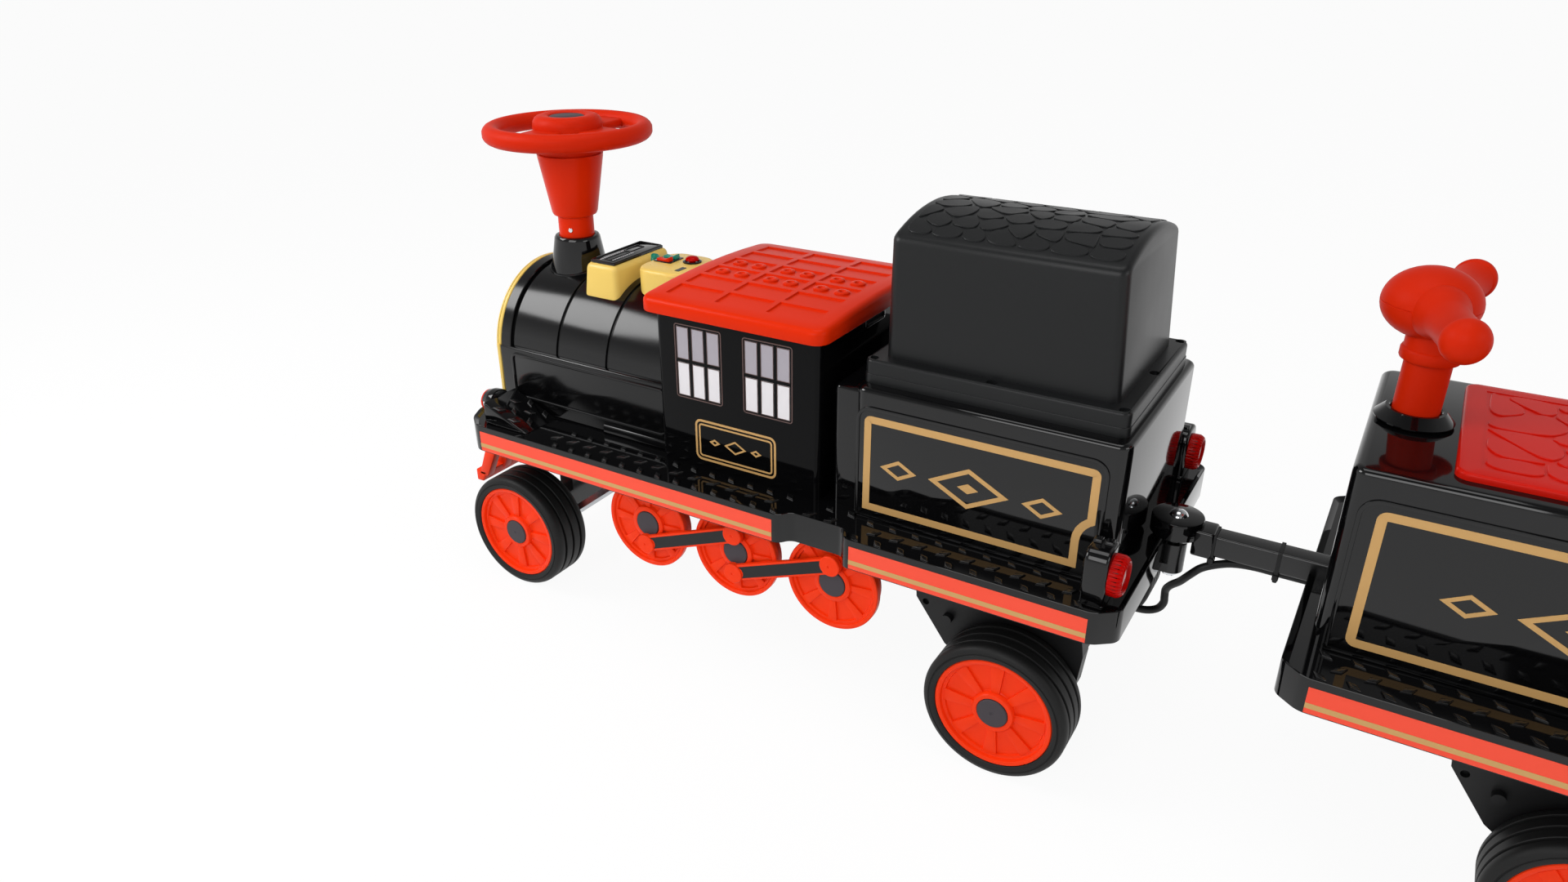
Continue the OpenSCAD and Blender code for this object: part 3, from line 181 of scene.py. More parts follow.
def lampLens(name, colour, seeThrough, shine):
    # moulded polycarbonate with a slightly wavy face
    settings = {"Base Color": lin(colour), "Transmission Weight": seeThrough, "IOR": 1.58,
                "Specular IOR Level": shine}
    return grained(name, settings, size=14, depth=0.04, spread=0.02, roughness=0.06)


def cableJacket():
    return plastic("black PVC jacket", "#121213", 0.3, size=1.5, depth=0.03, spread=0.05, roughness=0.45)


black = glossBlackAbs("black ABS, gloss", 0.44)
cabBlack = glossBlackAbs("black ABS, cab", 0.1)
boilerBlack = glossBlackAbs("black ABS, boiler", 0.4, 0.15)
treadBlack = glossBlackAbs("black ABS, tread", 0.9, 0.24)
satinBlack = satinBlackAbs()
red = redAbs()
seatRed = seatRedAbs()
softRed = softRedPvc()
orangeRed = orangeRedAbs()
yellow = yellowAbs()
green = greenAbs()
rubber = tyreRubber()
capDark = capPlastic()
gearBlack = gearboxPlastic()
coral = vinylFilm("coral", "#F4513A")
gold = vinylFilm("gold", "#C79D63")
paneGrey = vinylFilm("grey", "#A5A0A8")
paneWhite = vinylFilm("white", "#E1DEE1")
frameBrown = vinylFilm("brown", "#5E4A47")
markSilver = vinylFilm("silver", "#B9BABD")
steelBlack = powderCoat()
zinc = platedSteel("zinc plated steel", "#B9BBBE", 1.5, 0.08, 0.3)
chrome = platedSteel("chrome plated steel", "#DADCDF", 6, 0.03, 0.09)
silvered = platedSteel("silvered reflector", "#E4E6E8", 4, 0.04, 0.16)
lensClear = lampLens("clear polycarbonate", "#F4F6F8", 0.9, 0.5)
lensRed = lampLens("red polycarbonate", "#B40401", 0.05, 0.04)
# dark red strips for the lens's flute valleys: painted shade in the grooves, not a separate part
fluteShadeRed = lampLens("dark red, painted flute shade", "#3C0200", 0.05, 0.08)
jacket = cableJacket()
print("materials:", len(bpy.data.materials))


# modelling helpers; shapes are drawn in millimetres and moved into the frame at the end
def makePiece(name, bm, material, body, replaced=(), smoothAngle=38, recalc=True):
    # recalc is off where open or touching parts could be turned the wrong way
    bmesh.ops.remove_doubles(bm, verts=bm.verts, dist=0.002)
    if recalc:
        bmesh.ops.recalc_face_normals(bm, faces=bm.faces)
    bm.transform(toFrame)
    mesh = bpy.data.meshes.new(name)
    bm.to_mesh(mesh)
    bm.free()
    mesh.shade_smooth()
    mesh.set_sharp_from_angle(angle=math.radians(smoothAngle))
    mesh.materials.append(material)
    obj = bpy.data.objects.new(name, mesh)
    bpy.context.scene.collection.objects.link(obj)
    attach(obj, body)
    if replaced:
        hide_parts(*replaced)
    return obj


def roundEdges(bm, edges, width, segments):
    bmesh.ops.bevel(bm, geom=edges, offset=width, segments=segments, profile=0.5, affect="EDGES", material=-1)


def roundCorners(bm, radius, segments):
    # the corners of a flat outline
    bmesh.ops.bevel(bm, geom=list(bm.verts), offset=radius, segments=segments, profile=0.5, affect="VERTICES",
                    material=-1)


def raiseFaces(bm, height):
    # flat faces drawn up into a solid
    grown = bmesh.ops.extrude_face_region(bm, geom=list(bm.faces))
    top = [v for v in grown["geom"] if isinstance(v, bmesh.types.BMVert)]
    bmesh.ops.translate(bm, verts=top, vec=(0, 0, height))
    bmesh.ops.recalc_face_normals(bm, faces=bm.faces)


def topRim(bm, z):
    # the sharp edges round a flat top at z
    return [e for e in bm.edges if all(abs(v.co.z - z) < 0.01 for v in e.verts)
            and e.calc_face_angle(0) > 0.6]


def rectangle(u0, v0, u1, v1):
    return [(u0, v0), (u1, v0), (u1, v1), (u0, v1)]


def lozenge(u, v, reach, tall):
    return [(u - reach, v), (u, v - tall), (u + reach, v), (u, v + tall)]


def addBox(bm, lo, hi, bevel=0, segments=3):
    made = bmesh.ops.create_cube(bm, size=1)
    size = Vector(hi) - Vector(lo)
    middle = (Vector(hi) + Vector(lo)) / 2
    bmesh.ops.scale(bm, verts=made["verts"], vec=size)
    bmesh.ops.translate(bm, verts=made["verts"], vec=middle)
    if bevel:
        edges = {e for v in made["verts"] for e in v.link_edges}
        roundEdges(bm, list(edges), bevel, segments)


def addPlate(bm, corners, thick, place, round=0, ring=0, bevel=0, segments=6):
    # a flat plate drawn in (u, v) with rounded corners; ring leaves only a border of that width
    part = bmesh.new()
    part.faces.new([part.verts.new((u, v, 0)) for u, v in corners])
    if round:
        roundCorners(part, round, segments)
    if ring:
        part.normal_update()
        bmesh.ops.inset_region(part, faces=list(part.faces), thickness=ring, use_even_offset=True,
                               use_boundary=True)
        inner = [f for f in part.faces if all(not e.is_boundary for e in f.edges)]
        bmesh.ops.delete(part, geom=inner, context="FACES")
    raiseFaces(part, thick)
    if bevel:
        roundEdges(part, topRim(part, thick), bevel, 2)
    part.transform(place)
    joinInto(bm, part)


def joinInto(bm, part):
    mesh = bpy.data.meshes.new("joined")
    part.to_mesh(mesh)
    part.free()
    bm.from_mesh(mesh)
    bpy.data.meshes.remove(mesh)


def addLathe(bm, profile, place, steps=64):
    # profile: (radius, height) points, turned about the height axis
    part = bmesh.new()
    verts = [part.verts.new((r, 0, h)) for r, h in profile]
    edges = [part.edges.new(pair) for pair in zip(verts, verts[1:])]
    bmesh.ops.spin(part, geom=verts + edges, cent=(0, 0, 0), axis=(0, 0, 1), angle=2 * math.pi, steps=steps,
                   use_merge=True)
    bmesh.ops.remove_doubles(part, verts=part.verts, dist=0.001)
    bmesh.ops.recalc_face_normals(part, faces=part.faces)
    part.transform(place)
    joinInto(bm, part)


def addPrism(bm, outline, start, end, place, bevels=()):
    # an outline in (u, v) drawn out along w; bevels are (width, segments, test) in turn
    part = bmesh.new()
    part.faces.new([part.verts.new((u, v, start)) for u, v in outline])
    raiseFaces(part, end - start)
    for width, segments, test in bevels:
        roundEdges(part, [e for e in part.edges if e.calc_face_angle(0) > 0.5 and test(e)], width, segments)
    part.transform(place)
    joinInto(bm, part)


def anyEdge(edge):
    return True


def uprightEdge(edge):
    return abs(edge.verts[0].co.z - edge.verts[1].co.z) > 1


def onSide(y, side):
    # u along x, v along z, and out from the side wall at y
    return Matrix(((1, 0, 0, 0), (0, 0, side, side * y), (0, 1, 0, 0), (0, 0, 0, 1)))


def alongX(x=0):
    # u along y, v along z, w along x
    return Matrix(((0, 0, 1, x), (1, 0, 0, 0), (0, 1, 0, 0), (0, 0, 0, 1)))


def atHeight(z):
    return Matrix.Translation((0, 0, z))


def axisY(x, y, z, side):
    # the height axis of a turned shape points out of the side
    return Matrix(((1, 0, 0, x), (0, 0, side, y), (0, 1, 0, z), (0, 0, 0, 1)))


def axisX(x, y, z, way=1):
    return Matrix(((0, 0, way, x), (1, 0, 0, y), (0, 1, 0, z), (0, 0, 0, 1)))


def arc(cu, cv, radius, a0, a1, count):
    return [(cu + radius * math.cos(math.radians(a0 + (a1 - a0) * i / count)),
             cv + radius * math.sin(math.radians(a0 + (a1 - a0) * i / count))) for i in range(count + 1)]


# running board and wagon board: a tray with a rounded lip, a tread and a skirt
board = {"front": 885, "rear": -23, "frontHalf": 194, "rearHalf": 200, "waistHalf": 180,
         "waistRear": 280, "waistFront": 368, "shoulder": 10, "cornerLength": 23, "cornerDepth": 18,
         "noseLength": 14, "noseDepth": 27, "lip": 5.5, "lipWidth": 7, "skirt": 34, "plate": 4,
         "wall": 3.5, "soft": 7, "edge": 2.2}
wagonBoard = {"front": -168, "rear": -590}


def closeOutline(half):
    return half + [(x, -y) for x, y in reversed(half)]


def locomotiveOutline():
    b = board
    return closeOutline([
        (b["rear"], b["rearHalf"] - b["cornerDepth"]), (b["rear"] + b["cornerLength"], b["rearHalf"]),
        (b["waistRear"], b["rearHalf"]), (b["waistRear"] + b["shoulder"], b["waistHalf"]),
        (b["waistFront"] - b["shoulder"], b["waistHalf"]), (b["waistFront"], b["frontHalf"]),
        (b["front"] - b["cornerLength"] - b["noseLength"], b["frontHalf"]),
        (b["front"] - b["noseLength"], b["frontHalf"] - b["cornerDepth"]),
        (b["front"], b["frontHalf"] - b["cornerDepth"] - b["noseDepth"])])


def wagonOutline():
    b, w = board, wagonBoard
    return closeOutline([
        (w["rear"], b["rearHalf"] - b["cornerDepth"]), (w["rear"] + b["cornerLength"], b["rearHalf"]),
        (w["front"] - b["cornerLength"], b["rearHalf"]), (w["front"], b["rearHalf"] - b["cornerDepth"])])


def addTray(bm, outline):
    b = board
    part = bmesh.new()
    part.faces.new([part.verts.new((x, y, -b["skirt"])) for x, y in outline])
    roundCorners(part, b["soft"], 5)
    raiseFaces(part, b["skirt"] + b["lip"])
    for way, inset, depth in ((1, b["lipWidth"], -b["lip"]), (-1, b["wall"], b["skirt"] - b["plate"])):
        flat = [f for f in part.faces if f.normal.z * way > 0.9]
        bmesh.ops.inset_region(part, faces=flat, thickness=inset, use_even_offset=True)
        bmesh.ops.translate(part, verts=list({v for f in flat for v in f.verts}), vec=(0, 0, depth))
    roundEdges(part, [e for e in part.edges if e.calc_face_angle(0) > 0.7], b["edge"], 3)
    joinInto(bm, part)


# raised lozenges on the tread; a field is (rear, front, inner, outer)
tread = {"length": 18, "width": 9, "height": 2, "pitch": 28, "rowPitch": 13.5, "turn": 40, "soft": 1.5,
         "fields": [(20, 272, 148, 186), (382, 745, 142, 180), (300, 350, 142, 166)],
         "wedgeField": (16, 68, 122, 168), "wagonField": (-566, -194, 148, 186)}


def addLozenge(bm, x, y, turn, base):
    place = base @ Matrix.Translation((x, y, 0)) @ Matrix.Rotation(math.radians(turn), 4, "Z")
    outline = lozenge(0, 0, tread["length"] / 2, tread["width"] / 2)
    addPlate(bm, outline, tread["height"], place, bevel=tread["soft"])


def addTreadField(bm, x0, x1, y0, y1, base=Matrix.Identity(4)):
    rows = max(1, int((y1 - y0) / tread["rowPitch"]))
    for row in range(rows + 1):
        y = y0 + (y1 - y0) * row / rows
        start = x0 + (tread["pitch"] / 2 if row % 2 else 0)
        for i in range(int((x1 - start) / tread["pitch"]) + 1):
            turn = tread["turn"] * (1 if row % 2 else -1)
            for side in sides:
                addLozenge(bm, start + i * tread["pitch"], side * y, side * turn, base)


wedge = {"front": 848, "length": 75, "height": 31, "inner": 114, "width": 62, "edge": 2.5}
hanger = {"length": 40, "thick": 8, "low": -99, "top": -4.1, "edge": 1.5}
bush = {"x": 812, "bore": 8.1, "radius": 16, "top": -4.1, "low": -24}
dummy = {"count": 3, "x": 577, "pitch": 135, "drop": 79, "radius": 60, "width": 22, "face": 174, "cap": 17,
         "spokes": 8, "rodThrow": 27}


def buildRunningBoard():
    w, h, u = wedge, hanger, bush
    bm = bmesh.new()
    addTray(bm, locomotiveOutline())
    for side in sides:
        corners = [(w["front"] - w["length"], clear), (w["front"], clear), (w["front"], w["height"])]
        addPrism(bm, corners, 0, w["width"], onSide(w["inner"], side), [(w["edge"], 3, anyEdge)])
        inner = dummy["face"] - dummy["width"] - h["thick"]
        y0, y1 = sorted((side * inner, side * (inner + h["thick"])))
        for i in range(dummy["count"]):
            x = dummy["x"] - i * dummy["pitch"]
            addBox(bm, (x - h["length"] / 2, y0, h["low"]), (x + h["length"] / 2, y1, h["top"]), h["edge"], 2)
    section = rectangle(u["bore"], u["top"], u["radius"], u["low"])
    addLathe(bm, section + section[:1], Matrix.Translation((u["x"], 0, 0)), 32)
    makePiece("runningBoard", bm, black, "locomotive", ["running_board"])
    lozenges = bmesh.new()
    for field in tread["fields"]:
        addTreadField(lozenges, *field)
    slope = math.atan2(w["height"], w["length"])
    onWedge = Matrix.Translation((w["front"] - w["length"], 0, 0)) @ Matrix.Rotation(-slope, 4, "Y")
    addTreadField(lozenges, *tread["wedgeField"], onWedge)
    makePiece("treadLozenges", lozenges, treadBlack, "locomotive")


def buildWagonBoard():
    bm = bmesh.new()
    addTray(bm, wagonOutline())
    makePiece("wagonBoardTray", bm, black, "wagon", ["wagon_board"])
    lozenges = bmesh.new()
    addTreadField(lozenges, *tread["wagonField"])
    makePiece("wagonTreadLozenges", lozenges, treadBlack, "wagon")


# vinyl stripe along the skirts
stripe = {"top": -3.5, "bottom": -31.5, "film": 0.4, "goldTop": 0.6, "goldBottom": 0.8,
          "runs": [("frontStripe", 376, 841, "frontHalf", "locomotive"),
                   ("rearStripe", 5, 272, "rearHalf", "locomotive"),
                   ("wagonStripe", -562, -196, "rearHalf", "wagon")]}


def buildStripes():
    low, top, film = stripe["bottom"], stripe["top"], stripe["film"]
    z0 = top - (top - low) * stripe["goldBottom"]
    z1 = top - (top - low) * stripe["goldTop"]
    for name, x0, x1, half, body in stripe["runs"]:
        ground, line = bmesh.new(), bmesh.new()
        for side in sides:
            addPlate(ground, rectangle(x0, low, x1, top), film, onSide(board[half], side))
            addPlate(line, rectangle(x0, z0, x1, z1), film, onSide(board[half] + film, side))
        makePiece(name + "Film", ground, coral, body)
        makePiece(name + "Line", line, gold, body)


buildRunningBoard()
buildWagonBoard()
buildStripes()
print("boards done")


# boiler, its bands, the smokebox front and the chimney base
boiler = {"radius": 107, "axis": 79, "rear": 577.2, "front": 870, "ring": 3.5, "ringLength": 18,
          "boxHalf": 113, "boxHeight": 90, "band": 4, "bandDepth": 1.6, "bandPitch": 85}
boilerPlinth = {"front": 690, "height": 13, "sunk": 4, "proud": 5, "edge": 3}
boilerPanel = {"rearInset": 6, "frontInset": 22, "low": 18, "top": 84, "round": 10, "rise": 1.4,
               "bead": 3, "beadWidth": 4}


def buildBoiler():
    b = boiler
    bm = bmesh.new()
    ringRear = b["front"] - b["ringLength"]
    r, d, w = b["radius"], b["bandDepth"], b["band"]
    profile = [(r, b["rear"])]
    for x in (ringRear - 2 * b["bandPitch"], ringRear - b["bandPitch"]):
        profile += [(r, x - 0.8), (r + 0.7, x), (r - d, x + 1), (r - d, x + w - 1), (r + 0.7, x + w),
                    (r, x + w + 0.8)]
    profile += [(r, ringRear - w), (r - d, ringRear - w + 0.6), (r - d, ringRear),
                (r + b["ring"] - 1, ringRear + 0.4), (r + b["ring"], ringRear + 1.5),
                (r + b["ring"], b["front"] - 1.5), (r + b["ring"] - 1.5, b["front"]), (r - 8, b["front"])]
    part = bmesh.new()
    verts = [part.verts.new((rr, 0, x)) for rr, x in profile]
    edges = [part.edges.new(pair) for pair in zip(verts, verts[1:])]
    spread = math.degrees(math.asin((b["boxHeight"] - b["axis"]) / r)) + 4  # a little past the box's top
    bmesh.ops.rotate(part, verts=verts, cent=(0, 0, 0), matrix=Matrix.Rotation(math.radians(-spread), 3, "Z"))
    bmesh.ops.spin(part, geom=verts + edges, cent=(0, 0, 0), axis=(0, 0, 1),
                   angle=math.radians(180 + 2 * spread), steps=72)
    part.transform(axisX(0, 0, b["axis"]))
    bmesh.ops.recalc_face_normals(part, faces=part.faces)
    joinInto(bm, part)
    h, p, q = b["boxHalf"], boilerPlinth, boilerPanel
    addBox(bm, (b["rear"], -h, clear), (b["front"], h, b["boxHeight"]), 3, 3)
    for side in sides:
        # the plinth along the foot of the side, and the panel with its bead above it
        y0, y1 = sorted((side * (h - p["sunk"]), side * (h + p["proud"])))
        addBox(bm, (b["rear"] + 0.5, y0, clear), (p["front"], y1, p["height"]), p["edge"], 3)
        outline = rectangle(b["rear"] + q["rearInset"], q["low"], b["front"] - q["frontInset"], q["top"])
        wall = onSide(h - 0.2, side)
        addPlate(bm, outline, q["rise"], wall, round=q["round"], bevel=1.1)
        addPlate(bm, outline, q["bead"], wall, round=q["round"], ring=q["beadWidth"], bevel=1.4)
    makePiece("boilerShell", bm, boilerBlack, "locomotive", ["boiler_shell"], recalc=False)


smokebox = {"plate": 6, "rim": 3, "dish": 94, "depth": 15, "low": 6.6, "boss": 11, "rivets": 12,
            "rivetRing": 102, "rivet": 3, "rivetFrom": 10, "rivetTurn": 160}


def buildSmokebox():
    b, s = boiler, smokebox
    front = b["front"]
    bm = bmesh.new()
    r = b["radius"] + b["ring"]
    rise = math.degrees(math.asin((b["boxHeight"] - b["axis"]) / r))
    half, high = b["boxHalf"], b["boxHeight"]
    outline = [(half, clear), (half, high)] + arc(0, b["axis"], r, rise, 180 - rise, 48)
    outline += [(-half, high), (-half, clear)]
    addPrism(bm, outline, front, front + s["plate"], alongX(), [(1.8, 3, lambda e: not uprightEdge(e))])
    part = bmesh.new()
    d, dish, rim = s["depth"], s["dish"], s["rim"]
    addLathe(part, [(0, d), (dish - 26, d), (dish - 23, d - 1.4), (dish - 17, d - 1.4), (dish - 14, d),
                    (dish - 4, d), (dish - 1.4, d - 0.8), (dish, d - 3), (dish + 1, rim), (r - 2, rim),
                    (r - 0.9, rim - 0.5), (r - 0.5, rim - 1.4), (r - 0.5, 0)],
             axisX(front + s["plate"], 0, b["axis"]), 96)
    geom = list(part.verts) + list(part.edges) + list(part.faces)
    bmesh.ops.bisect_plane(part, geom=geom, plane_co=(0, 0, s["low"]), plane_no=(0, 0, -1), clear_outer=True)
    joinInto(bm, part)
    addBox(bm, (front + 3, -dish, s["low"]), (front + s["plate"] + d * 0.7, dish, b["axis"] / 2), 2.5, 3)
    boss = s["boss"]
    addLathe(bm, [(0, d + 5), (boss - 2, d + 5), (boss, d + 3), (boss, d - 2)],
             axisX(front + s["plate"], 0, b["axis"]), 32)
    for i in range(s["rivets"]):
        a = math.radians(s["rivetFrom"] + s["rivetTurn"] * i / (s["rivets"] - 1))
        y, z = s["rivetRing"] * math.cos(a), b["axis"] + s["rivetRing"] * math.sin(a)
        place = axisX(front + s["plate"] + rim, y, z)
        addLathe(bm, [(0, 1.6), (s["rivet"] * 0.7, 1.2), (s["rivet"], 0)], place, 12)
    makePiece("smokeboxFront", bm, yellow, "locomotive", ["smokebox_front"], recalc=False)


column = {"x": 812, "chimneyFoot": 40, "chimneyTop": 31.5, "top": 228, "foot": 178, "bore": 24.6, "bead": 1.6}


def buildChimneyBase():
    c = column
    bm = bmesh.new()
    top, foot, wide, narrow, bore = c["top"], c["foot"], c["chimneyFoot"], c["chimneyTop"], c["bore"]
    addLathe(bm, [(bore, top - 12), (bore, top - 1), (bore + 1, top), (narrow - 5, top),
                  (narrow - 2, top - 0.8), (narrow - 0.4, top - 3), (narrow, top - 5), (wide - 1.2, foot + 4),
                  (wide, foot - 4)], Matrix.Translation((c["x"], 0, 0)), 72)
    makePiece("chimneyBase", bm, black, "locomotive", ["chimney_base"])
    ring = bmesh.new()
    path = []
    for u, y in arc(0, 0, wide + 0.3, 0, 355, 71):
        path.append(Vector((c["x"] + u, y, boiler["axis"] + math.sqrt(boiler["radius"] ** 2 - y * y))))
    addLoopBead(ring, path, c["bead"])
    makePiece("chimneyFootBead", ring, black, "locomotive")


def addLoopBead(bm, path, radius):
    # a round bead along a closed path, made by extruding a ring of vertices from point to point
    part = bmesh.new()
    made = bmesh.ops.create_circle(part, cap_ends=False, segments=8, radius=radius)
    first = made["verts"]
    turnTo(part, first, path[0], path[1] - path[-1])
    edges = list({e for v in first for e in v.link_edges})
    loops = [edges]
    for i in range(1, len(path)):
        grown = bmesh.ops.extrude_edge_only(part, edges=loops[-1])["geom"]
        verts = [g for g in grown if isinstance(g, bmesh.types.BMVert)]
        before = (path[i] - path[i - 2]) if i > 1 else (path[1] - path[-1])
        after = path[(i + 1) % len(path)] - path[i - 1]
        swing = before.rotation_difference(after).to_matrix()
        bmesh.ops.rotate(part, verts=verts, cent=path[i - 1], matrix=swing)
        bmesh.ops.translate(part, verts=verts, vec=path[i] - path[i - 1])
        loops.append([g for g in grown if isinstance(g, bmesh.types.BMEdge)])
    bmesh.ops.bridge_loops(part, edges=loops[0] + loops[-1])
    bmesh.ops.recalc_face_normals(part, faces=part.faces)
    joinInto(bm, part)


def turnTo(part, verts, centre, direction):
    turn = Vector((0, 0, 1)).rotation_difference(direction).to_matrix()
    bmesh.ops.rotate(part, verts=verts, cent=(0, 0, 0), matrix=turn)
    bmesh.ops.translate(part, verts=verts, vec=centre)


buildBoiler()
buildSmokebox()
buildChimneyBase()
print("boiler done")


# steering wheel and the funnel under it
steering = {"x": 812, "height": 367, "radius": 112, "tube": 12, "hub": 46, "cap": 23, "funnelTop": 44,
            "funnelFoot": 30.5, "funnelLow": 255, "sleeve": 24, "sleeveLow": 214, "spokeWidth": 40,
            "drop": 29, "rise": 21, "screwTurn": 112, "screwDrop": 17}


def buildSteering():
    s = steering
    z, mid = s["height"], Matrix.Translation((s["x"], 0, 0))
    funnel = bmesh.new()
    top, low, foot = z - s["drop"], s["funnelLow"], s["funnelFoot"]
    addLathe(funnel, [(0, s["sleeveLow"]), (s["sleeve"], s["sleeveLow"]), (s["sleeve"], low - 0.5),
                      (foot - 4.5, low + 0.3), (foot - 1.2, low + 1.8), (foot + 0.4, low + 5),
                      (s["funnelTop"] - 0.4, top - 4), (s["funnelTop"], top), (0, top)], mid, 72)
    makePiece("funnelSleeve", funnel, red, "steering", ["funnel_sleeve"])
    screw = bmesh.new()
    turn = Matrix.Rotation(math.radians(s["screwTurn"]), 4, "Z")
    screwPlace = Matrix.Translation((s["x"], 0, low - s["screwDrop"])) @ turn @ axisX(s["sleeve"], 0, 0)
    addLathe(screw, [(0, 0.9), (2.6, 0.9), (3.2, 0.2), (3.2, -1)], screwPlace, 20)
    makePiece("funnelScrew", screw, chrome, "steering")
    wheel = bmesh.new()
    ring = s["radius"] - s["tube"]
    section = [(ring + u, z + v) for u, v in arc(0, 0, s["tube"], 0, 360, 20)]
    section[0] = section[-1] = (ring + s["tube"] - 0.5, z)
    addLathe(wheel, section, mid, 96)
    hubTop, hub, capR = z + s["rise"], s["hub"], s["cap"]
    addLathe(wheel, [(0, top), (s["funnelTop"] - 3, top), (hub - 1, z - 12), (hub, z - 8), (hub, hubTop - 12),
                     (hub - 0.8, hubTop - 8), (hub - 3, hubTop - 4), (hub - 6, hubTop - 1.6),
                     (hub - 10, hubTop - 0.2), (hub - 13, hubTop), (capR + 6, hubTop),
                     (capR + 2, hubTop - 1.2), (capR + 0.4, hubTop - 4), (0, hubTop - 4)], mid, 72)
    for turn in (90, 180, 270):
        w = s["spokeWidth"] / 2
        place = mid @ Matrix.Rotation(math.radians(turn), 4, "Z") @ atHeight(z)
        spoke = [(hub - 8, -w - 6), (ring - 4, -w), (ring - 4, w), (hub - 8, w + 6)]
        addPrism(wheel, spoke, -7, 5, place, [(3.5, 3, anyEdge)])
    makePiece("steeringWheel", wheel, softRed, "steering", ["steering_wheel"], recalc=False)
    cap = bmesh.new()
    addLathe(cap, [(0, hubTop - 1.6), (capR - 1.5, hubTop - 1.8), (capR, hubTop - 2.8),
                   (capR, hubTop - 4.2)], mid, 48)
    makePiece("steeringCap", cap, capDark, "steering")


buildSteering()
print("steering done")


# music console: a yellow tapered block with a black panel
music = {"rear": 695, "front": 754, "half": 62, "draft": 4, "top": 211, "foot": 158, "soft": 8, "knob": 8.5,
         "knobY": -25, "panelHalf": 53, "panelLength": 41, "panelThick": 3,
         "frames": [(-5, 0, 5, 43), (-3, -34, 10, -3)], "markRows": [(8.4, 45, 13), (-8.4, 40, 11)],
         "markPitch": 4.2}


def buildMusicConsole():
    m = music
    bm = bmesh.new()
    rear, front, draft = m["rear"], m["front"], m["draft"]
    outline = [(rear, m["foot"]), (front, m["foot"]), (front - draft, m["top"]), (rear + draft, m["top"])]
    addPrism(bm, outline, -m["half"], m["half"], onSide(0, 1))
    lean = draft / (m["top"] - m["foot"])
    for v in bm.verts:
        v.co.y *= 1 - lean * (v.co.z - m["foot"]) / m["half"]
    crisp = [e for e in bm.edges if e.calc_face_angle(0) > 0.7
             and max(v.co.z for v in e.verts) > m["foot"] + 1]
    roundEdges(bm, crisp, m["soft"], 4)
    makePiece("musicConsole", bm, yellow, "locomotive", ["music_console"])
    mid = (rear + front) / 2
    reach, h = m["panelLength"] / 2, m["panelHalf"]
    panel = bmesh.new()
    outline = rectangle(mid - reach, -h, mid + reach, h)
    addPlate(panel, outline, m["panelThick"], atHeight(m["top"]), round=3, bevel=0.8)
    face = m["top"] + m["panelThick"]
    border = rectangle(mid - reach + 1.5, 1.5 - h, mid + reach - 1.5, h - 1.5)
    addPlate(panel, border, 0.9, atHeight(face), round=2, ring=1.6)
    for u0, v0, u1, v1 in m["frames"]:
        addPlate(panel, rectangle(mid + u0, v0, mid + u1, v1), 0.8, atHeight(face), round=1.5,
                 ring=1.2, bevel=0.3)
    makePiece("musicPanel", panel, black, "locomotive", ["music_panel"])
    marks = bmesh.new()
    for dx, first, count in m["markRows"]:
        for i in range(count):
            x, y = mid + dx, first - i * m["markPitch"]
            addBox(marks, (x - 1.1, y - 1.2, face), (x + 1.1, y + 1.2, face + 0.3))
    makePiece("musicPanelMarks", marks, markSilver, "locomotive")
    knob = bmesh.new()
    k = m["knob"]
    addLathe(knob, [(0, 4.6), (k - 3, 4.4), (k - 1, 3.6), (k, 2), (k, -3)],
             axisX(rear + 3.4, m["knobY"], m["top"] - 10, -1), 32)
    makePiece("musicKnob", knob, green, "locomotive")


# switch console with two rockers, a round button and a cable slot
pod = {"rear": 601, "length": 80, "half": 46, "round": 26, "top": 211, "foot": 158, "soft": 5, "rockerX": 60,
       "rockerY": -7.5, "rockerRest": 9, "rockerPitch": 15, "rockerLength": 20, "rockerWidth": 10,
       "buttonX": 26, "buttonY": 14, "button": 9, "travel": 3, "slot": (-10, 12, -3, 30)}


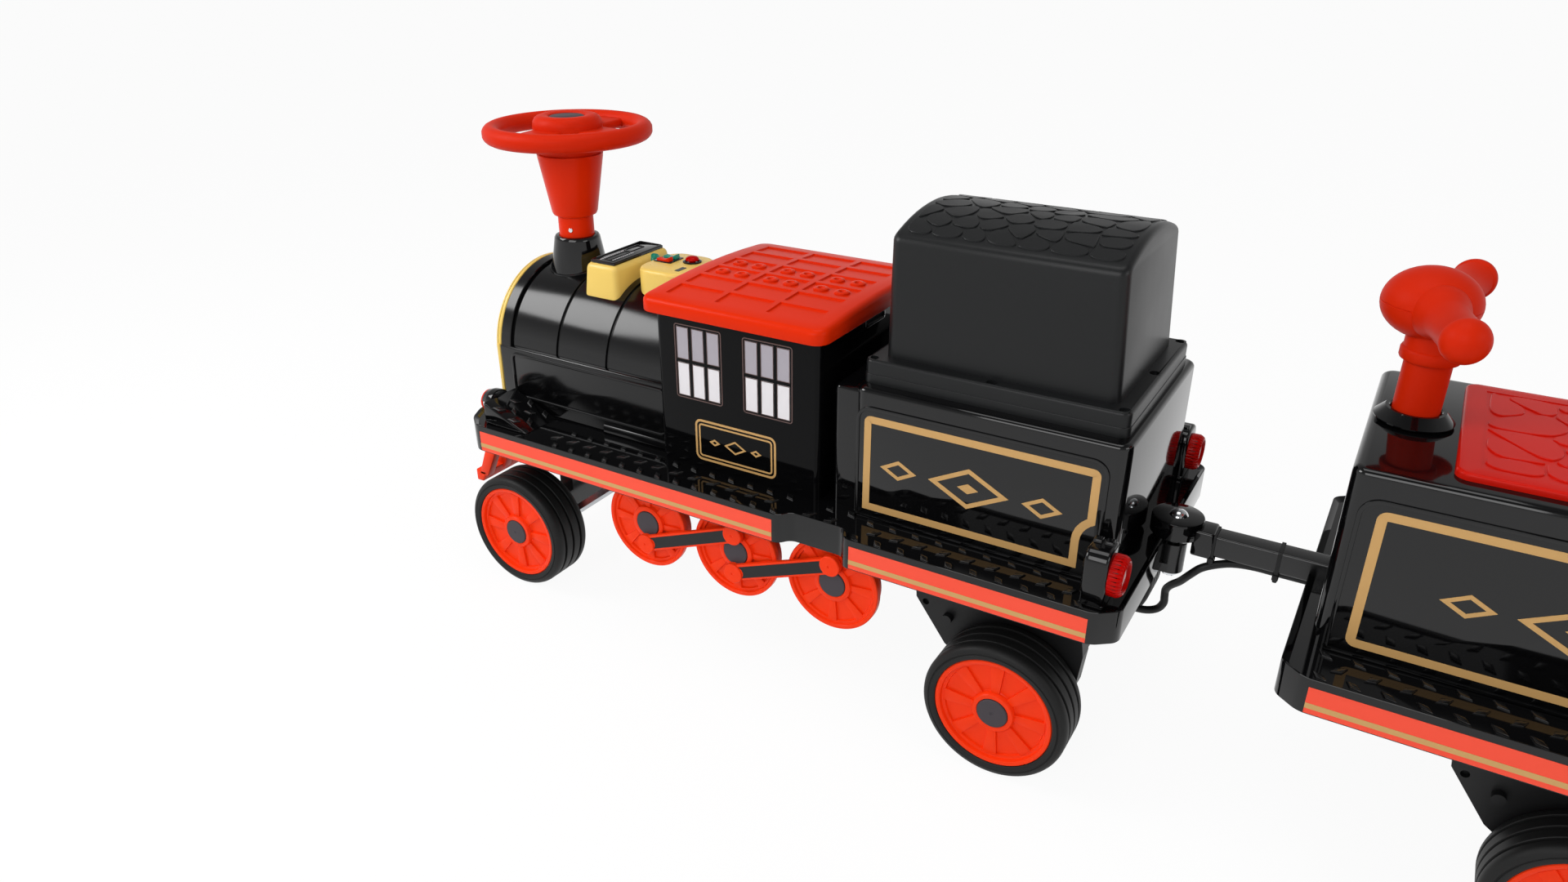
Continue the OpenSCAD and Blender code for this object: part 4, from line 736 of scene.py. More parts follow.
def buildSwitchConsole():
    p = pod
    bm = bmesh.new()
    outline = rectangle(p["rear"], -p["half"], p["rear"] + p["length"], p["half"])
    addPlate(bm, outline, p["top"] - p["foot"], atHeight(p["foot"]), round=p["round"], segments=10)
    roundEdges(bm, topRim(bm, p["top"]), p["soft"], 4)
    makePiece("switchConsole", bm, yellow, "locomotive", ["switch_console"])
    trim = bmesh.new()
    rx, ry, b = p["rear"] + p["rockerX"], p["rockerY"], p["button"]
    reach, wide = p["rockerLength"] / 2 + 4, p["rockerPitch"] / 2 + p["rockerWidth"] / 2 + 3
    flat = atHeight(p["top"] - clear)
    addPlate(trim, rectangle(rx - reach, ry - wide, rx + reach, ry + wide), 1.2, flat, round=2, bevel=0.4)
    bx, by = p["rear"] + p["buttonX"], -p["buttonY"]
    addLathe(trim, [(0, 0.2), (b + 3.4, 0.2), (b + 3.6, 1.4), (b + 2.6, 2), (b + 1, 2), (b + 1, 0.2)],
             flat @ Matrix.Translation((bx, by, 0)), 40)
    u0, v0, u1, v1 = p["slot"]
    addPlate(trim, rectangle(bx + u0, v0, bx + u1, v1), 0.6, flat, round=1.2)
    makePiece("switchTrim", trim, black, "locomotive", recalc=False)
    for name, side, mat in (("red", 1, red), ("green", -1, green)):
        rocker = bmesh.new()
        w, l = p["rockerWidth"] / 2, p["rockerLength"] / 2
        dip = [(-l, -2), (l, -2), (l, 6.3), (l / 2, 4.4), (0, 3.6), (-l / 2, 4.4), (-l, 6.3)]
        tilt = Matrix.Rotation(math.radians(p["rockerRest"]), 4, "Y")
        place = Matrix.Translation((rx, ry + side * p["rockerPitch"] / 2, p["top"] - 1)) @ tilt @ onSide(0, 1)
        addPrism(rocker, dip, -w, w, place, [(0.8, 2, anyEdge)])
        makePiece("rocker" + name.capitalize(), rocker, mat, "rocker_" + name, ["rocker_" + name])
    button = bmesh.new()
    low = p["top"] + p["travel"] + 0.2
    addLathe(button, [(0, low - 14), (b / 2, low - 14), (b / 2, low), (b, low), (b, low + 1.4),
                      (b - 0.8, low + 2.8), (b - 2.4, low + 4), (b - 5, low + 4.8), (0, low + 5.2)],
             Matrix.Translation((bx, by, 0)), 40)
    makePiece("startButton", button, lensRed, "start_button", ["start_button"])


buildMusicConsole()
buildSwitchConsole()
print("consoles done")


# cab with its printed windows and name frame
cab = {"rear": 349, "front": 577, "half": 133, "height": 195, "round": 7, "wall": 3,
       "notchHalf": 25, "notch": 14}
window = {"starts": (384, 481.5), "width": 68, "bottom": 91, "top": 186, "sill": 139.5, "bar": 4.6,
          "edge": 3.4, "line": 1.3, "paneLine": 0.7, "film": 0.35}
nameFrame = {"x0": 407, "x1": 524, "z0": 12, "z1": 67, "line": 2.2, "gap": 3.2, "round": 9,
             "lozenges": [(0, 16, 9), (-30, 8, 4.5), (30, 8, 4.5)]}


def addWindows(frames, upper, lower, wall, paneFace):
    w = window
    film, edge, bar = w["film"], w["edge"], w["bar"]
    paneWide = (w["width"] - 2 * edge - 2 * bar) / 3
    rows = ((lower, w["bottom"] + edge, w["sill"] - bar / 2), (upper, w["sill"] + bar / 2, w["top"] - edge))
    for x in w["starts"]:
        outline = rectangle(x, w["bottom"], x + w["width"], w["top"])
        addPlate(frames, outline, film, wall, round=4, ring=w["line"])
        for i in range(3):
            u = x + edge + i * (paneWide + bar)
            for target, z0, z1 in rows:
                pane = rectangle(u, z0, u + paneWide, z1)
                addPlate(target, pane, film, wall)
                addPlate(frames, pane, film, paneFace, ring=w["paneLine"])


def addNameFrame(lines, wall):
    # two gold lines round a row of plain lozenges
    n, film = nameFrame, window["film"]
    for inset, wide in ((0, n["line"] * 1.3), (n["line"] + n["gap"], n["line"])):
        outline = rectangle(n["x0"] + inset, n["z0"] + inset, n["x1"] - inset, n["z1"] - inset)
        addPlate(lines, outline, film, wall, round=n["round"] - inset * 0.8, ring=wide)
    mx, mz = (n["x0"] + n["x1"]) / 2, (n["z0"] + n["z1"]) / 2
    for dx, reach, tall in n["lozenges"]:
        addPlate(lines, lozenge(mx + dx, mz, reach, tall), film, wall, ring=n["line"])


def buildCab():
    c = cab
    bm = bmesh.new()
    outline = rectangle(c["rear"], -c["half"], c["front"], c["half"])
    addPlate(bm, outline, c["height"], Matrix.Identity(4), round=c["round"])
    ends = [f for f in bm.faces if abs(f.normal.z) > 0.9]
    bmesh.ops.inset_region(bm, faces=ends, thickness=c["wall"], use_even_offset=True)
    bmesh.ops.delete(bm, geom=ends, context="FACES")
    rings = [[e for e in bm.edges if e.is_boundary and abs(e.verts[0].co.z - z) < 0.01]
             for z in (0, c["height"])]
    bmesh.ops.bridge_loops(bm, edges=rings[0] + rings[1])
    makePiece("cabShell", bm, cabBlack, "locomotive", ["cab_shell"])
    notch = bmesh.new()
    recess = rectangle(-c["notchHalf"], c["height"] - c["notch"], c["notchHalf"], c["height"] - 1)
    addPlate(notch, recess, 1.4, axisX(c["rear"], 0, 0, -1), round=3, ring=3, bevel=0.5)
    makePiece("cabLiftRecess", notch, black, "locomotive")
    frames, upper, lower, lines = bmesh.new(), bmesh.new(), bmesh.new(), bmesh.new()
    for side in sides:
        wall = onSide(c["half"], side)
        addWindows(frames, upper, lower, wall, onSide(c["half"] + window["film"], side))
        addNameFrame(lines, wall)
    makePiece("windowFrames", frames, frameBrown, "locomotive")
    makePiece("windowUpperPanes", upper, paneGrey, "locomotive")
    makePiece("windowLowerPanes", lower, paneWhite, "locomotive")
    makePiece("nameFrameLines", lines, gold, "locomotive")


# lift-off roof: crowned slab with sunk panels and ring bosses
roof = {"rear": 341, "front": 597, "half": 141, "low": 195, "edge": 18, "crown": 7, "corner": 18, "soft": 7,
        "margin": 21, "rows": 6, "columns": 3, "bar": 3.6, "sink": 2, "boss": 9.2, "bossHole": 4,
        "bossRows": (2, 3), "bossPlaces": (0.3, 0.7), "rimDepth": 10, "rimWidth": 8}


def roofHeight(y):
    radius = (roof["half"] ** 2 + roof["crown"] ** 2) / (2 * roof["crown"])
    return roof["low"] + roof["edge"] + roof["crown"] - radius + math.sqrt(radius ** 2 - y ** 2)


def buildRoof():
    r = roof
    field = r["half"] - r["margin"]
    ys = [-r["half"]] + [-field + 2 * field * i / r["rows"] for i in range(r["rows"] + 1)] + [r["half"]]
    outline = [(-r["half"], r["low"]), (r["half"], r["low"])] + [(y, roofHeight(y)) for y in reversed(ys)]
    bm = bmesh.new()
    addPrism(bm, outline, r["rear"], r["front"], alongX())
    corners = [e for e in bm.edges if abs(e.verts[0].co.z - e.verts[1].co.z) > 10]
    roundEdges(bm, corners, r["corner"], 6)
    brim = [e for e in bm.edges if e.calc_face_angle(0) > 0.9 and min(v.co.z for v in e.verts) > r["low"] + 5]
    roundEdges(bm, brim, r["soft"], 4)
    under = [e for e in bm.edges if e.calc_face_angle(0) > 0.9
             and max(v.co.z for v in e.verts) < r["low"] + 1]
    roundEdges(bm, under, 2, 2)
    x0, x1 = r["rear"] + r["margin"], r["front"] - r["margin"]
    for i in range(r["columns"] + 1):
        x = x0 + (x1 - x0) * i / r["columns"]
        tops = [f for f in bm.faces if f.normal.z > 0.9]
        geom = list({v for f in tops for v in f.verts} | {e for f in tops for e in f.edges} | set(tops))
        bmesh.ops.bisect_plane(bm, geom=geom, plane_co=(x, 0, 0), plane_no=(1, 0, 0))
    cells = [f for f in bm.faces if f.normal.z > 0.9 and len(f.verts) == 4 and
             x0 < f.calc_center_median().x < x1 and abs(f.calc_center_median().y) < field]
    bmesh.ops.inset_individual(bm, faces=cells, thickness=r["bar"], use_even_offset=True)
    bmesh.ops.inset_individual(bm, faces=cells, thickness=0.7, depth=-r["sink"], use_even_offset=True)
    makePiece("cabRoof", bm, red, "cab_roof", ["cab_roof"], smoothAngle=30)
    extras = bmesh.new()
    b, hole = r["boss"], r["bossHole"]
    boss = [(0, 0.2), (hole - 0.6, 0.2), (hole, 2.2), (hole + 1, 3), (b - 1.6, 3), (b, 2), (b + 0.5, 0)]
    for bay in range(r["columns"]):
        for row in r["bossRows"]:
            y = -field + 2 * field / r["rows"] * (row + 0.5)
            for k in r["bossPlaces"]:
                x = x0 + (x1 - x0) / r["columns"] * (bay + k)
                addLathe(extras, boss, Matrix.Translation((x, y, roofHeight(y) - r["sink"] - 0.2)), 32)
    # the rim under the roof drops inside the cab's walls
    inset, half = cab["wall"] + 0.3, cab["half"] - cab["wall"] - 0.4
    outline = rectangle(cab["rear"] + inset, -half, cab["front"] - inset, half)
    addPlate(extras, outline, r["rimDepth"] + 1, atHeight(r["low"] - r["rimDepth"]), round=4,
             ring=r["rimWidth"])
    makePiece("roofBossesAndRim", extras, red, "cab_roof")


buildCab()
buildRoof()
print("cab done")


# tender and seat box
tender = {"rear": 1, "front": 303, "half": 137.5, "height": 158, "round": 14, "soft": 6, "neckFront": 335,
          "neckHalf": 125.5, "neckHeight": 150, "neckLap": 20, "neckRound": 8, "neckSoft": 5,
          "panel": (17, 298, 139)}
tenderLining = {"rear": 25, "front": 288, "low": 11.5, "top": 128, "round": 8, "wide": 8.5, "insideRear": 38,
                "notchX": 14, "notchZ": 44, "notch": 25, "notchTurn": 63.9}
sidePanel = {"rise": 1.3, "round": 18, "edge": 1.1, "bead": 4}
lining = {"film": 0.35, "lozenges": [(0, 46, 24, 5), (-82, 22, 12, 4), (82, 22, 12, 4)], "heart": (12, 6)}
seat = {"rear": 9, "front": 302, "flangeHalf": 120.5, "flangeLow": 158, "flangeTop": 185, "step": 17.5,
        "edgeHeight": 318, "crown": 20, "round": 18, "soft": 7, "line": 169, "screw": 6, "recess": 8,
        "lean": 8, "draft": 3, "stoneMargin": 11}


def addRoundedBody(bm, x0, x1, half, z0, z1, round, soft, holes=()):
    part = bmesh.new()
    addPlate(part, rectangle(x0, -half, x1, half), z1 - z0, atHeight(z0), round=round, segments=8)
    roundEdges(part, topRim(part, z1), soft, 4)
    if holes:
        drillTop(part, z1, holes)
    joinInto(bm, part)


def drillTop(bm, z, holes):
    # blind holes (x, y, radius, depth) in the flat top at z
    top = [f for f in bm.faces if all(abs(v.co.z - z) < 0.01 for v in f.verts)]
    bmesh.ops.delete(bm, geom=top, context="FACES_ONLY")
    rim = [e for e in bm.edges if e.is_boundary]
    rings = []
    for x, y, radius, depth in holes:
        ring = [bm.verts.new((u, v, z)) for u, v in arc(x, y, radius, 0, 345, 23)]
        edges = [bm.edges.new(pair) for pair in zip(ring, ring[1:] + ring[:1])]
        rings.append((edges, depth))
        rim += edges
    bmesh.ops.triangle_fill(bm, use_beauty=True, use_dissolve=False, edges=rim)
    for edges, depth in rings:
        grown = bmesh.ops.extrude_edge_only(bm, edges=edges)["geom"]
        low = [v for v in grown if isinstance(v, bmesh.types.BMVert)]
        bmesh.ops.translate(bm, verts=low, vec=(0, 0, -depth))
        floor = [e for e in grown if isinstance(e, bmesh.types.BMEdge) and set(e.verts) <= set(low)]
        bmesh.ops.edgenet_fill(bm, edges=floor)


def addSidePanel(bm, x0, x1, top, half):
    # raised panel with round upper corners, standing on the tread
    r = sidePanel["round"]
    outline = [(x0, 0.3), (x1, 0.3)] + arc(x1 - r, top - r, r, 0, 90, 8) + arc(x0 + r, top - r, r, 90, 180, 8)
    rise, edge = sidePanel["rise"], sidePanel["edge"]
    for side in sides:
        wall = onSide(half - 0.1, side)
        addPlate(bm, outline, rise, wall, bevel=edge)
        addPlate(bm, outline, rise + 1, wall, ring=sidePanel["bead"], bevel=edge)


def addLining(bm, outline, wide, middle, half):
    # a gold border on both sides, with plain lozenges in its middle
    u, v = middle
    for side in sides:
        place = onSide(half + sidePanel["rise"] - 0.1, side)
        addPlate(bm, outline, lining["film"], place, ring=wide)
        for du, reach, tall, line in lining["lozenges"]:
            addPlate(bm, lozenge(u + du, v, reach, tall), lining["film"], place, ring=line)
        addPlate(bm, lozenge(u, v, *lining["heart"]), lining["film"], place)


def buildTender():
    t = tender
    bm = bmesh.new()
    addRoundedBody(bm, t["rear"], t["front"], t["half"], clear, t["height"], t["round"], t["soft"])
    addRoundedBody(bm, t["front"] - t["neckLap"], t["neckFront"], t["neckHalf"], clear, t["neckHeight"],
                   t["neckRound"], t["neckSoft"])
    addSidePanel(bm, *t["panel"], t["half"])
    makePiece("tenderShell", bm, black, "locomotive", ["tender_shell"])
    border = bmesh.new()
    n = tenderLining
    r, low, top, front = n["round"], n["low"], n["top"], n["front"]
    # the border steps in round the tail lamp at its lower rear corner
    outline = [(n["notchX"] + n["notch"], low), (front, low)]
    outline += arc(front - r, top - r, r, 0, 90, 5) + arc(n["rear"] + r, top - r, r, 90, 180, 5)
    outline += arc(n["notchX"], n["notchZ"], n["notch"], n["notchTurn"], 0, 5)
    addLining(border, outline, n["wide"], ((n["insideRear"] + front) / 2, (low + top) / 2), t["half"])
    makePiece("tenderLining", border, gold, "locomotive")


def seatHeight(y, half):
    radius = (half ** 2 + seat["crown"] ** 2) / (2 * seat["crown"])
    return seat["edgeHeight"] + seat["crown"] - radius + math.sqrt(max(0, radius ** 2 - y ** 2))


def buildSeat():
    s = seat
    bm = bmesh.new()
    addRoundedBody(bm, s["rear"], s["front"], s["flangeHalf"], s["flangeLow"] + clear, s["line"], 11, 1)
    half = s["flangeHalf"] - s["step"]
    x0, x1 = s["rear"] + s["step"], s["front"] - s["step"]
    inset = s["step"] / 2
    rows = [s["rear"] + inset, (s["rear"] + s["front"]) / 2, s["front"] - inset]
    holes = [(x, y * (s["flangeHalf"] - inset), s["screw"], s["recess"]) for x in rows for y in (-1, 0, 1)
             if y or x != rows[1]]
    addRoundedBody(bm, s["rear"] + 0.8, s["front"] - 0.8, s["flangeHalf"] - 0.8, s["line"] - 0.5,
                   s["flangeTop"], 10, 4, holes)
    count, foot = 14, s["flangeTop"] - 4
    ys = [-half + 2 * half * i / count for i in range(count + 1)]
    outline = [(-half, foot), (half, foot)] + [(y, seatHeight(y, half)) for y in reversed(ys)]
    part = bmesh.new()
    addPrism(part, outline, x0, x1, alongX())
    posts = [e for e in part.edges if abs(e.verts[0].co.z - e.verts[1].co.z) > 50]
    roundEdges(part, posts, s["round"] * 0.66, 5)
    brim = [e for e in part.edges if e.calc_face_angle(0) > 0.8
            and min(v.co.z for v in e.verts) > s["edgeHeight"] - 20]
    roundEdges(part, brim, s["soft"], 4)
    # the walls lean in towards the top
    for v in part.verts:
        rise = (v.co.z - s["flangeTop"]) / (s["edgeHeight"] - s["flangeTop"])
        v.co.x += rise * s["lean"] * (x1 - v.co.x) / (x1 - x0)
        v.co.y *= 1 - rise * s["draft"] / half
    joinInto(bm, part)
    makePiece("seatBox", bm, satinBlack, "locomotive", ["seat_box"])
    stones = bmesh.new()
    narrow, margin = 1 - s["draft"] / half, s["stoneMargin"]
    field = (x0 + s["lean"] + margin, x1 - margin, half * narrow - margin)
    addCobbles(stones, field, seatStones, lambda y: seatHeight(y / narrow, half))
    makePiece("seatCobbles", stones, satinBlack, "locomotive", smoothAngle=24)


# cobbles: each one is a rectangle cut back by the lines half way to its neighbours
seatStones = {"length": 34, "width": 23, "gap": 2.2, "rise": 1.8, "round": 42, "soft": 0.6, "seed": 7}
padStones = {"length": 48, "width": 26, "gap": 2, "rise": 1.9, "round": 42, "soft": 0.7, "seed": 11}


def cobbleSeeds(field, cobble):
    # a brick pattern shaken out of line, with about one place in ten left empty
    rng = random.Random(cobble["seed"])
    x0, x1, half = field
    columns, rows = round((x1 - x0) / cobble["length"]), round(2 * half / cobble["width"])
    seeds = []
    for i in range(columns):
        for j in range(rows):
            shift = 0.25 if j % 2 else 0
            u = x0 + (i + 0.4 + shift + rng.uniform(-0.28, 0.28)) * (x1 - x0) / columns
            v = -half + (j + 0.5 + rng.uniform(-0.3, 0.3)) * 2 * half / rows
            if rng.random() > 0.1:
                seeds.append(Vector((u, v, 0)))
    return seeds


def cobbleOutline(field, gap, seed, neighbours):
    x0, x1, half = field
    part = bmesh.new()
    part.faces.new([part.verts.new((u, v, 0)) for u, v in rectangle(x0, -half, x1, half)])
    for other in neighbours:
        away = (other - seed).normalized()
        geom = list(part.verts) + list(part.edges) + list(part.faces)
        bmesh.ops.bisect_plane(part, geom=geom, plane_co=(seed + other) / 2 - away * gap / 2, plane_no=away,
                               clear_outer=True)
    outline = [v.co.copy() for f in part.faces[:1] for v in f.verts]
    part.free()
    return outline


def addCobbles(bm, field, cobble, height):
    seeds = cobbleSeeds(field, cobble)
    for seed in seeds:
        nearest = sorted(seeds, key=lambda other: (other - seed).length)[1:10]
        outline = cobbleOutline(field, cobble["gap"], seed, nearest)
        if len(outline) < 3:
            continue
        stone = bmesh.new()
        stone.faces.new([stone.verts.new(p) for p in outline])
        bmesh.ops.bevel(stone, geom=list(stone.verts), offset=cobble["round"], offset_type="PERCENT",
                        segments=5, profile=0.5, affect="VERTICES", material=-1, clamp_overlap=True)
        raiseFaces(stone, cobble["rise"])
        roundEdges(stone, topRim(stone, cobble["rise"]), cobble["soft"], 1)
        bmesh.ops.triangulate(stone, faces=[f for f in stone.faces if len(f.verts) > 4])
        for v in stone.verts:
            v.co.z += height(v.co.y) - 0.5
        joinInto(bm, stone)


buildTender()
buildSeat()
print("tender and seat done")


# lamps
headlamp = {"back": 848, "length": 22, "y": 145, "radius": 19, "rim": 15, "hoodEnd": 10,
            "hoodTurn": 150, "wall": 3}
tailLamp = {"rear": -4, "front": 21, "y": 162, "half": 23, "top": 61, "lensZ": 31, "lens": 22, "flutes": 30,
            "fluteDepth": 0.055, "shoulder": 15, "edge": 3.5, "earX": (-1, 10.5), "earLength": 9}


def addHood(bm, profile, turn, place):
    # a turned shell that covers only the upper part of the lamp
    part = bmesh.new()
    verts = [part.verts.new((0, r, h)) for r, h in profile]
    edges = [part.edges.new(pair) for pair in zip(verts, verts[1:] + verts[:1])]
    face = part.faces.new(verts)
    bmesh.ops.rotate(part, verts=verts, cent=(0, 0, 0),
                     matrix=Matrix.Rotation(math.radians(-turn / 2), 3, "Z"))
    bmesh.ops.spin(part, geom=verts + edges + [face], cent=(0, 0, 0), axis=(0, 0, 1),
                   angle=math.radians(turn), steps=40)
    bmesh.ops.recalc_face_normals(part, faces=part.faces)
    part.transform(place)
    joinInto(bm, part)


def buildHeadlamps():
    h = headlamp
    r, l, rim, end = h["radius"], h["length"], h["rim"], h["hoodEnd"]
    inner = rim - h["wall"]
    hoods, shells, rings, lenses = bmesh.new(), bmesh.new(), bmesh.new(), bmesh.new()
    for side in sides:
        place = axisX(h["back"], side * h["y"], r)
        addHood(hoods, [(r - 1.6, 0.1), (r, 0.6), (r, end - 1), (r - 0.3, end), (rim + 0.8, l - 3.4),
                        (rim - 0.4, l - 3.2), (r - 1.6, end)], h["hoodTurn"], place)
        addLathe(shells, [(0, 0.1), (r - 1.7, 0.1), (r - 1.7, end), (rim - 0.5, l - 3.2),
                          (inner + 0.2, l - 3.2), (inner - 0.4, l - 6), (8, l - 13), (4, l - 15),
                          (0, l - 15.6)], place)
        addLathe(rings, [(inner, l - 4), (rim + 0.2, l - 4), (rim + 0.4, l - 1.6), (rim - 0.2, l - 0.4),
                         (rim - 1.4, l), (inner + 0.6, l - 0.2), (inner, l - 1), (inner, l - 4)], place)
        addLathe(lenses, [(0, l + 1.6), (4, l + 1.3), (8, l + 0.2), (inner - 0.2, l - 2),
                          (inner - 0.2, l - 3.4), (8, l - 1.4), (4, l - 0.4), (0, l - 0.2)], place)
    makePiece("headlampHoods", hoods, black, "locomotive", ["headlamp_rings"])
    makePiece("headlampShells", shells, silvered, "locomotive")
    makePiece("headlampRims", rings, red, "locomotive")
    makePiece("headlampLenses", lenses, lensClear, "locomotive", ["headlamp_lenses"])


def addTailLampCase(bm, side):
    t = tailLamp
    y, half, top, turn = side * t["y"], t["half"], t["top"], t["shoulder"]
    outline = [(y - half, 0.2), (y + half, 0.2)] + arc(y + half - turn, top + 1 - turn, turn, 0, 90, 8)
    outline += arc(y - half + turn, top + 1 - turn, turn, 90, 180, 8)
    addPrism(bm, outline, t["rear"], t["front"], alongX(), [(t["edge"], 4, anyEdge)])
    addBox(bm, (t["rear"], y - half, 0.2), (t["front"], y + half, 5), 1.4)
    ear = [(y - side * 13, top - 8), (y + side * 2, top - 8), (y, top + 4), (y - side * 10, top + 4)]
    for x in t["earX"]:
        addPrism(bm, ear, x, x + t["earLength"], alongX(), [(1.4, 3, anyEdge)])


def addTailLampLens(lenses, fluteShade, place):
    t = tailLamp
    r, flutes = t["lens"], t["flutes"]
    drum = bmesh.new()
    addLathe(drum, [(0, 0), (r, 0), (r, 8.5), (r - 1.2, 11), (r - 2.6, 13), (r - 4.6, 14), (r - 6, 13.4),
                    (r - 7, 11.4), (r - 12, 11.8), (0, 12.2)], Matrix.Identity(4), flutes * 8)
    for v in drum.verts:
        reach = math.hypot(v.co.x, v.co.y)
        if reach > r - 3 and v.co.z > 0.5:
            wave = abs(math.sin(flutes * math.atan2(v.co.y, v.co.x) / 2))
            ripple = 1 - t["fluteDepth"] * (1 - wave) ** 2
            v.co.x *= ripple
            v.co.y *= ripple
    drum.transform(place)
    joinInto(lenses, drum)
    # a dark red strip in each flute valley: painted shade where the grooves fall dark
    for i in range(flutes):
        turned = place @ Matrix.Rotation(2 * math.pi * i / flutes, 4, "Z") @ atHeight(3.5)
        addPlate(fluteShade, rectangle(r - 2, -0.55, r - 0.5, 0.55), 5.5, turned)


def buildTailLamps():
    t = tailLamp
    cases, lenses, fluteShade = bmesh.new(), bmesh.new(), bmesh.new()
    for side in sides:
        addTailLampCase(cases, side)
        addTailLampLens(lenses, fluteShade, axisX(t["rear"], side * t["y"], t["lensZ"], -1))
    makePiece("tailLampCases", cases, black, "locomotive", ["tail_lamp_housings"])
    makePiece("tailLampLenses", lenses, lensRed, "locomotive", ["tail_lamp_lenses"])
    # the dark strips are painted shade in the flutes of the lens
    makePiece("tailLampFluteShade", fluteShade, fluteShadeRed, "locomotive")


# pilot: slanted bars between a top rail and a foot bar
pilot = {"half": 140, "bars": 9, "barWidth": 14, "thick": 9, "top": -34, "drop": 78, "rear": 859,
         "front": 885, "topX": 867, "lean": 27, "foot": 15, "rail": 8, "edge": 2}


def buildPilot():
    p = pilot
    bm = bmesh.new()
    low = p["top"] - p["drop"]
    barX = p["topX"] + p["drop"] * math.tan(math.radians(p["lean"]))
    h = p["half"]
    addBox(bm, (p["rear"], -h, p["top"] - p["rail"]), (p["front"], h, p["top"] - clear), p["edge"])
    rear, front = barX - p["thick"] + 1, barX + p["foot"]
    footBar = [(rear, low + 7), (front, low + 7), (front, low - 11), (front - 12, low - 11)]
    addPrism(bm, footBar, -h, h, onSide(0, 1), [(p["edge"], 3, anyEdge)])
    outline = [(p["topX"] - 4, p["top"] - 4), (p["front"], p["top"] - 4),
               (barX + p["thick"], low), (rear, low)]
    pitch = 2 * (h - p["barWidth"] / 2) / (p["bars"] - 1)
    for i in range(p["bars"]):
        y = -h + i * pitch
        addPrism(bm, outline, y, y + p["barWidth"], onSide(0, 1), [(p["edge"], 2, anyEdge)])
    makePiece("pilotBars", bm, orangeRed, "locomotive", ["pilot"])


buildHeadlamps()
buildTailLamps()
buildPilot()
print("lamps and pilot done")


# wheels
def addSpokes(bm, place, count, inner, outer, innerWide, outerWide, low, thick, edge):
    for i in range(count):
        turned = place @ Matrix.Rotation(2 * math.pi * i / count, 4, "Z") @ atHeight(low)
        spoke = [(inner, -innerWide / 2), (outer, -outerWide / 2), (outer, outerWide / 2),
                 (inner, innerWide / 2)]
        addPlate(bm, spoke, thick, turned, bevel=edge)


rod = {"wide": 21, "thick": 5, "boss": 13, "inlay": 15}


def addDummyWheel(discs, caps, place):
    r, w, c = dummy["radius"], dummy["width"], dummy["cap"]
    addLathe(discs, [(0, clear), (r - 6, clear), (r - 6, w - 9), (r - 5, w - 8.4), (r - 1, w - 8.4),
                     (r, w - 7.4), (r, w - 1), (r - 1, w), (r - 4.6, w), (r - 5.6, w - 1), (r - 6, w - 3.2),
                     (r - 9, w - 3.6), (r - 10, w - 6), (c + 8, w - 6), (c + 7.4, w - 5.4),
                     (c + 6.6, w - 1.6), (c + 5.8, w - 1), (c + 1, w - 1), (c + 0.4, w - 1.6),
                     (c + 0.4, w - 3), (0, w - 3)], place, 96)
    addSpokes(discs, place, dummy["spokes"], c + 6, r - 8, 7, 12.5, w - 6.2, 3, 0.5)
    addLathe(caps, [(0, w - 3), (c, w - 3), (c, w - 0.8), (c - 0.8, w), (0, w + 0.3)], place, 64)


def addRod(rods, inlays, start, end, side):
    # a flat bar from pin to pin, with a dark inlay and a boss at each pin
    start, end = Vector(start), Vector(end)
    length = (end - start).length
    along = (end - start) / length
    across = Vector((-along.y, along.x))
    place, t, b = onSide(dummy["face"], side), rod["thick"], rod["boss"]
    half, k = rod["wide"] / 2, rod["inlay"] / 2
    bar = rectangle(0, -half, length, half)
    inlay = [(11, -k), (14.6, -k / 2), (15.4, 0), (14.6, k / 2), (11, k), (length - 9, k), (length - 9, -k)]
    bar, inlay = ([tuple(start + along * u + across * v) for u, v in shape] for shape in (bar, inlay))
    addPlate(rods, bar, t, place, bevel=0.9)
    addPlate(inlays, inlay, t + 0.35, place)
    boss = [(0, 0), (b, 0), (b, t + 1.2), (b - 0.9, t + 2), (2.2, t + 2), (1.6, t + 1.2), (0, t + 1)]
    for pin in (start, end):
        addLathe(rods, boss, axisY(pin.x, side * dummy["face"], pin.y, side), 40)


def buildDummyWheels():
    # fixed ornamental driving wheels and their rods
    d = dummy
    discs, caps, rods, inlays = bmesh.new(), bmesh.new(), bmesh.new(), bmesh.new()
    xs = [d["x"] - i * d["pitch"] for i in range(d["count"])]
    for side in sides:
        for x in xs:
            addDummyWheel(discs, caps, axisY(x, side * (d["face"] - d["width"]), -d["drop"], side))
        for x0, x1 in zip(xs, xs[1:]):
            addRod(rods, inlays, (x0, -d["drop"] - d["rodThrow"]), (x1, -d["drop"] + d["rodThrow"]), side)
    makePiece("dummyWheels", discs, orangeRed, "locomotive", ["dummy_wheels"])
    makePiece("dummyWheelCaps", caps, capDark, "locomotive")
    makePiece("couplingRods", rods, orangeRed, "locomotive", ["coupling_rods"])
    makePiece("couplingRodInlays", inlays, gearBlack, "locomotive")


wheel = {"radius": 82.5, "width": 60, "rim": 67, "hub": 24, "cap": 17.5, "web": 50, "spokes": 8, "z": -159.5,
         "groove": 3, "bore": 6.05,
         "sets": [("front_wheel", 812, 182), ("rear_wheel", 93, 201), ("wagon_wheel", -445, 201)]}


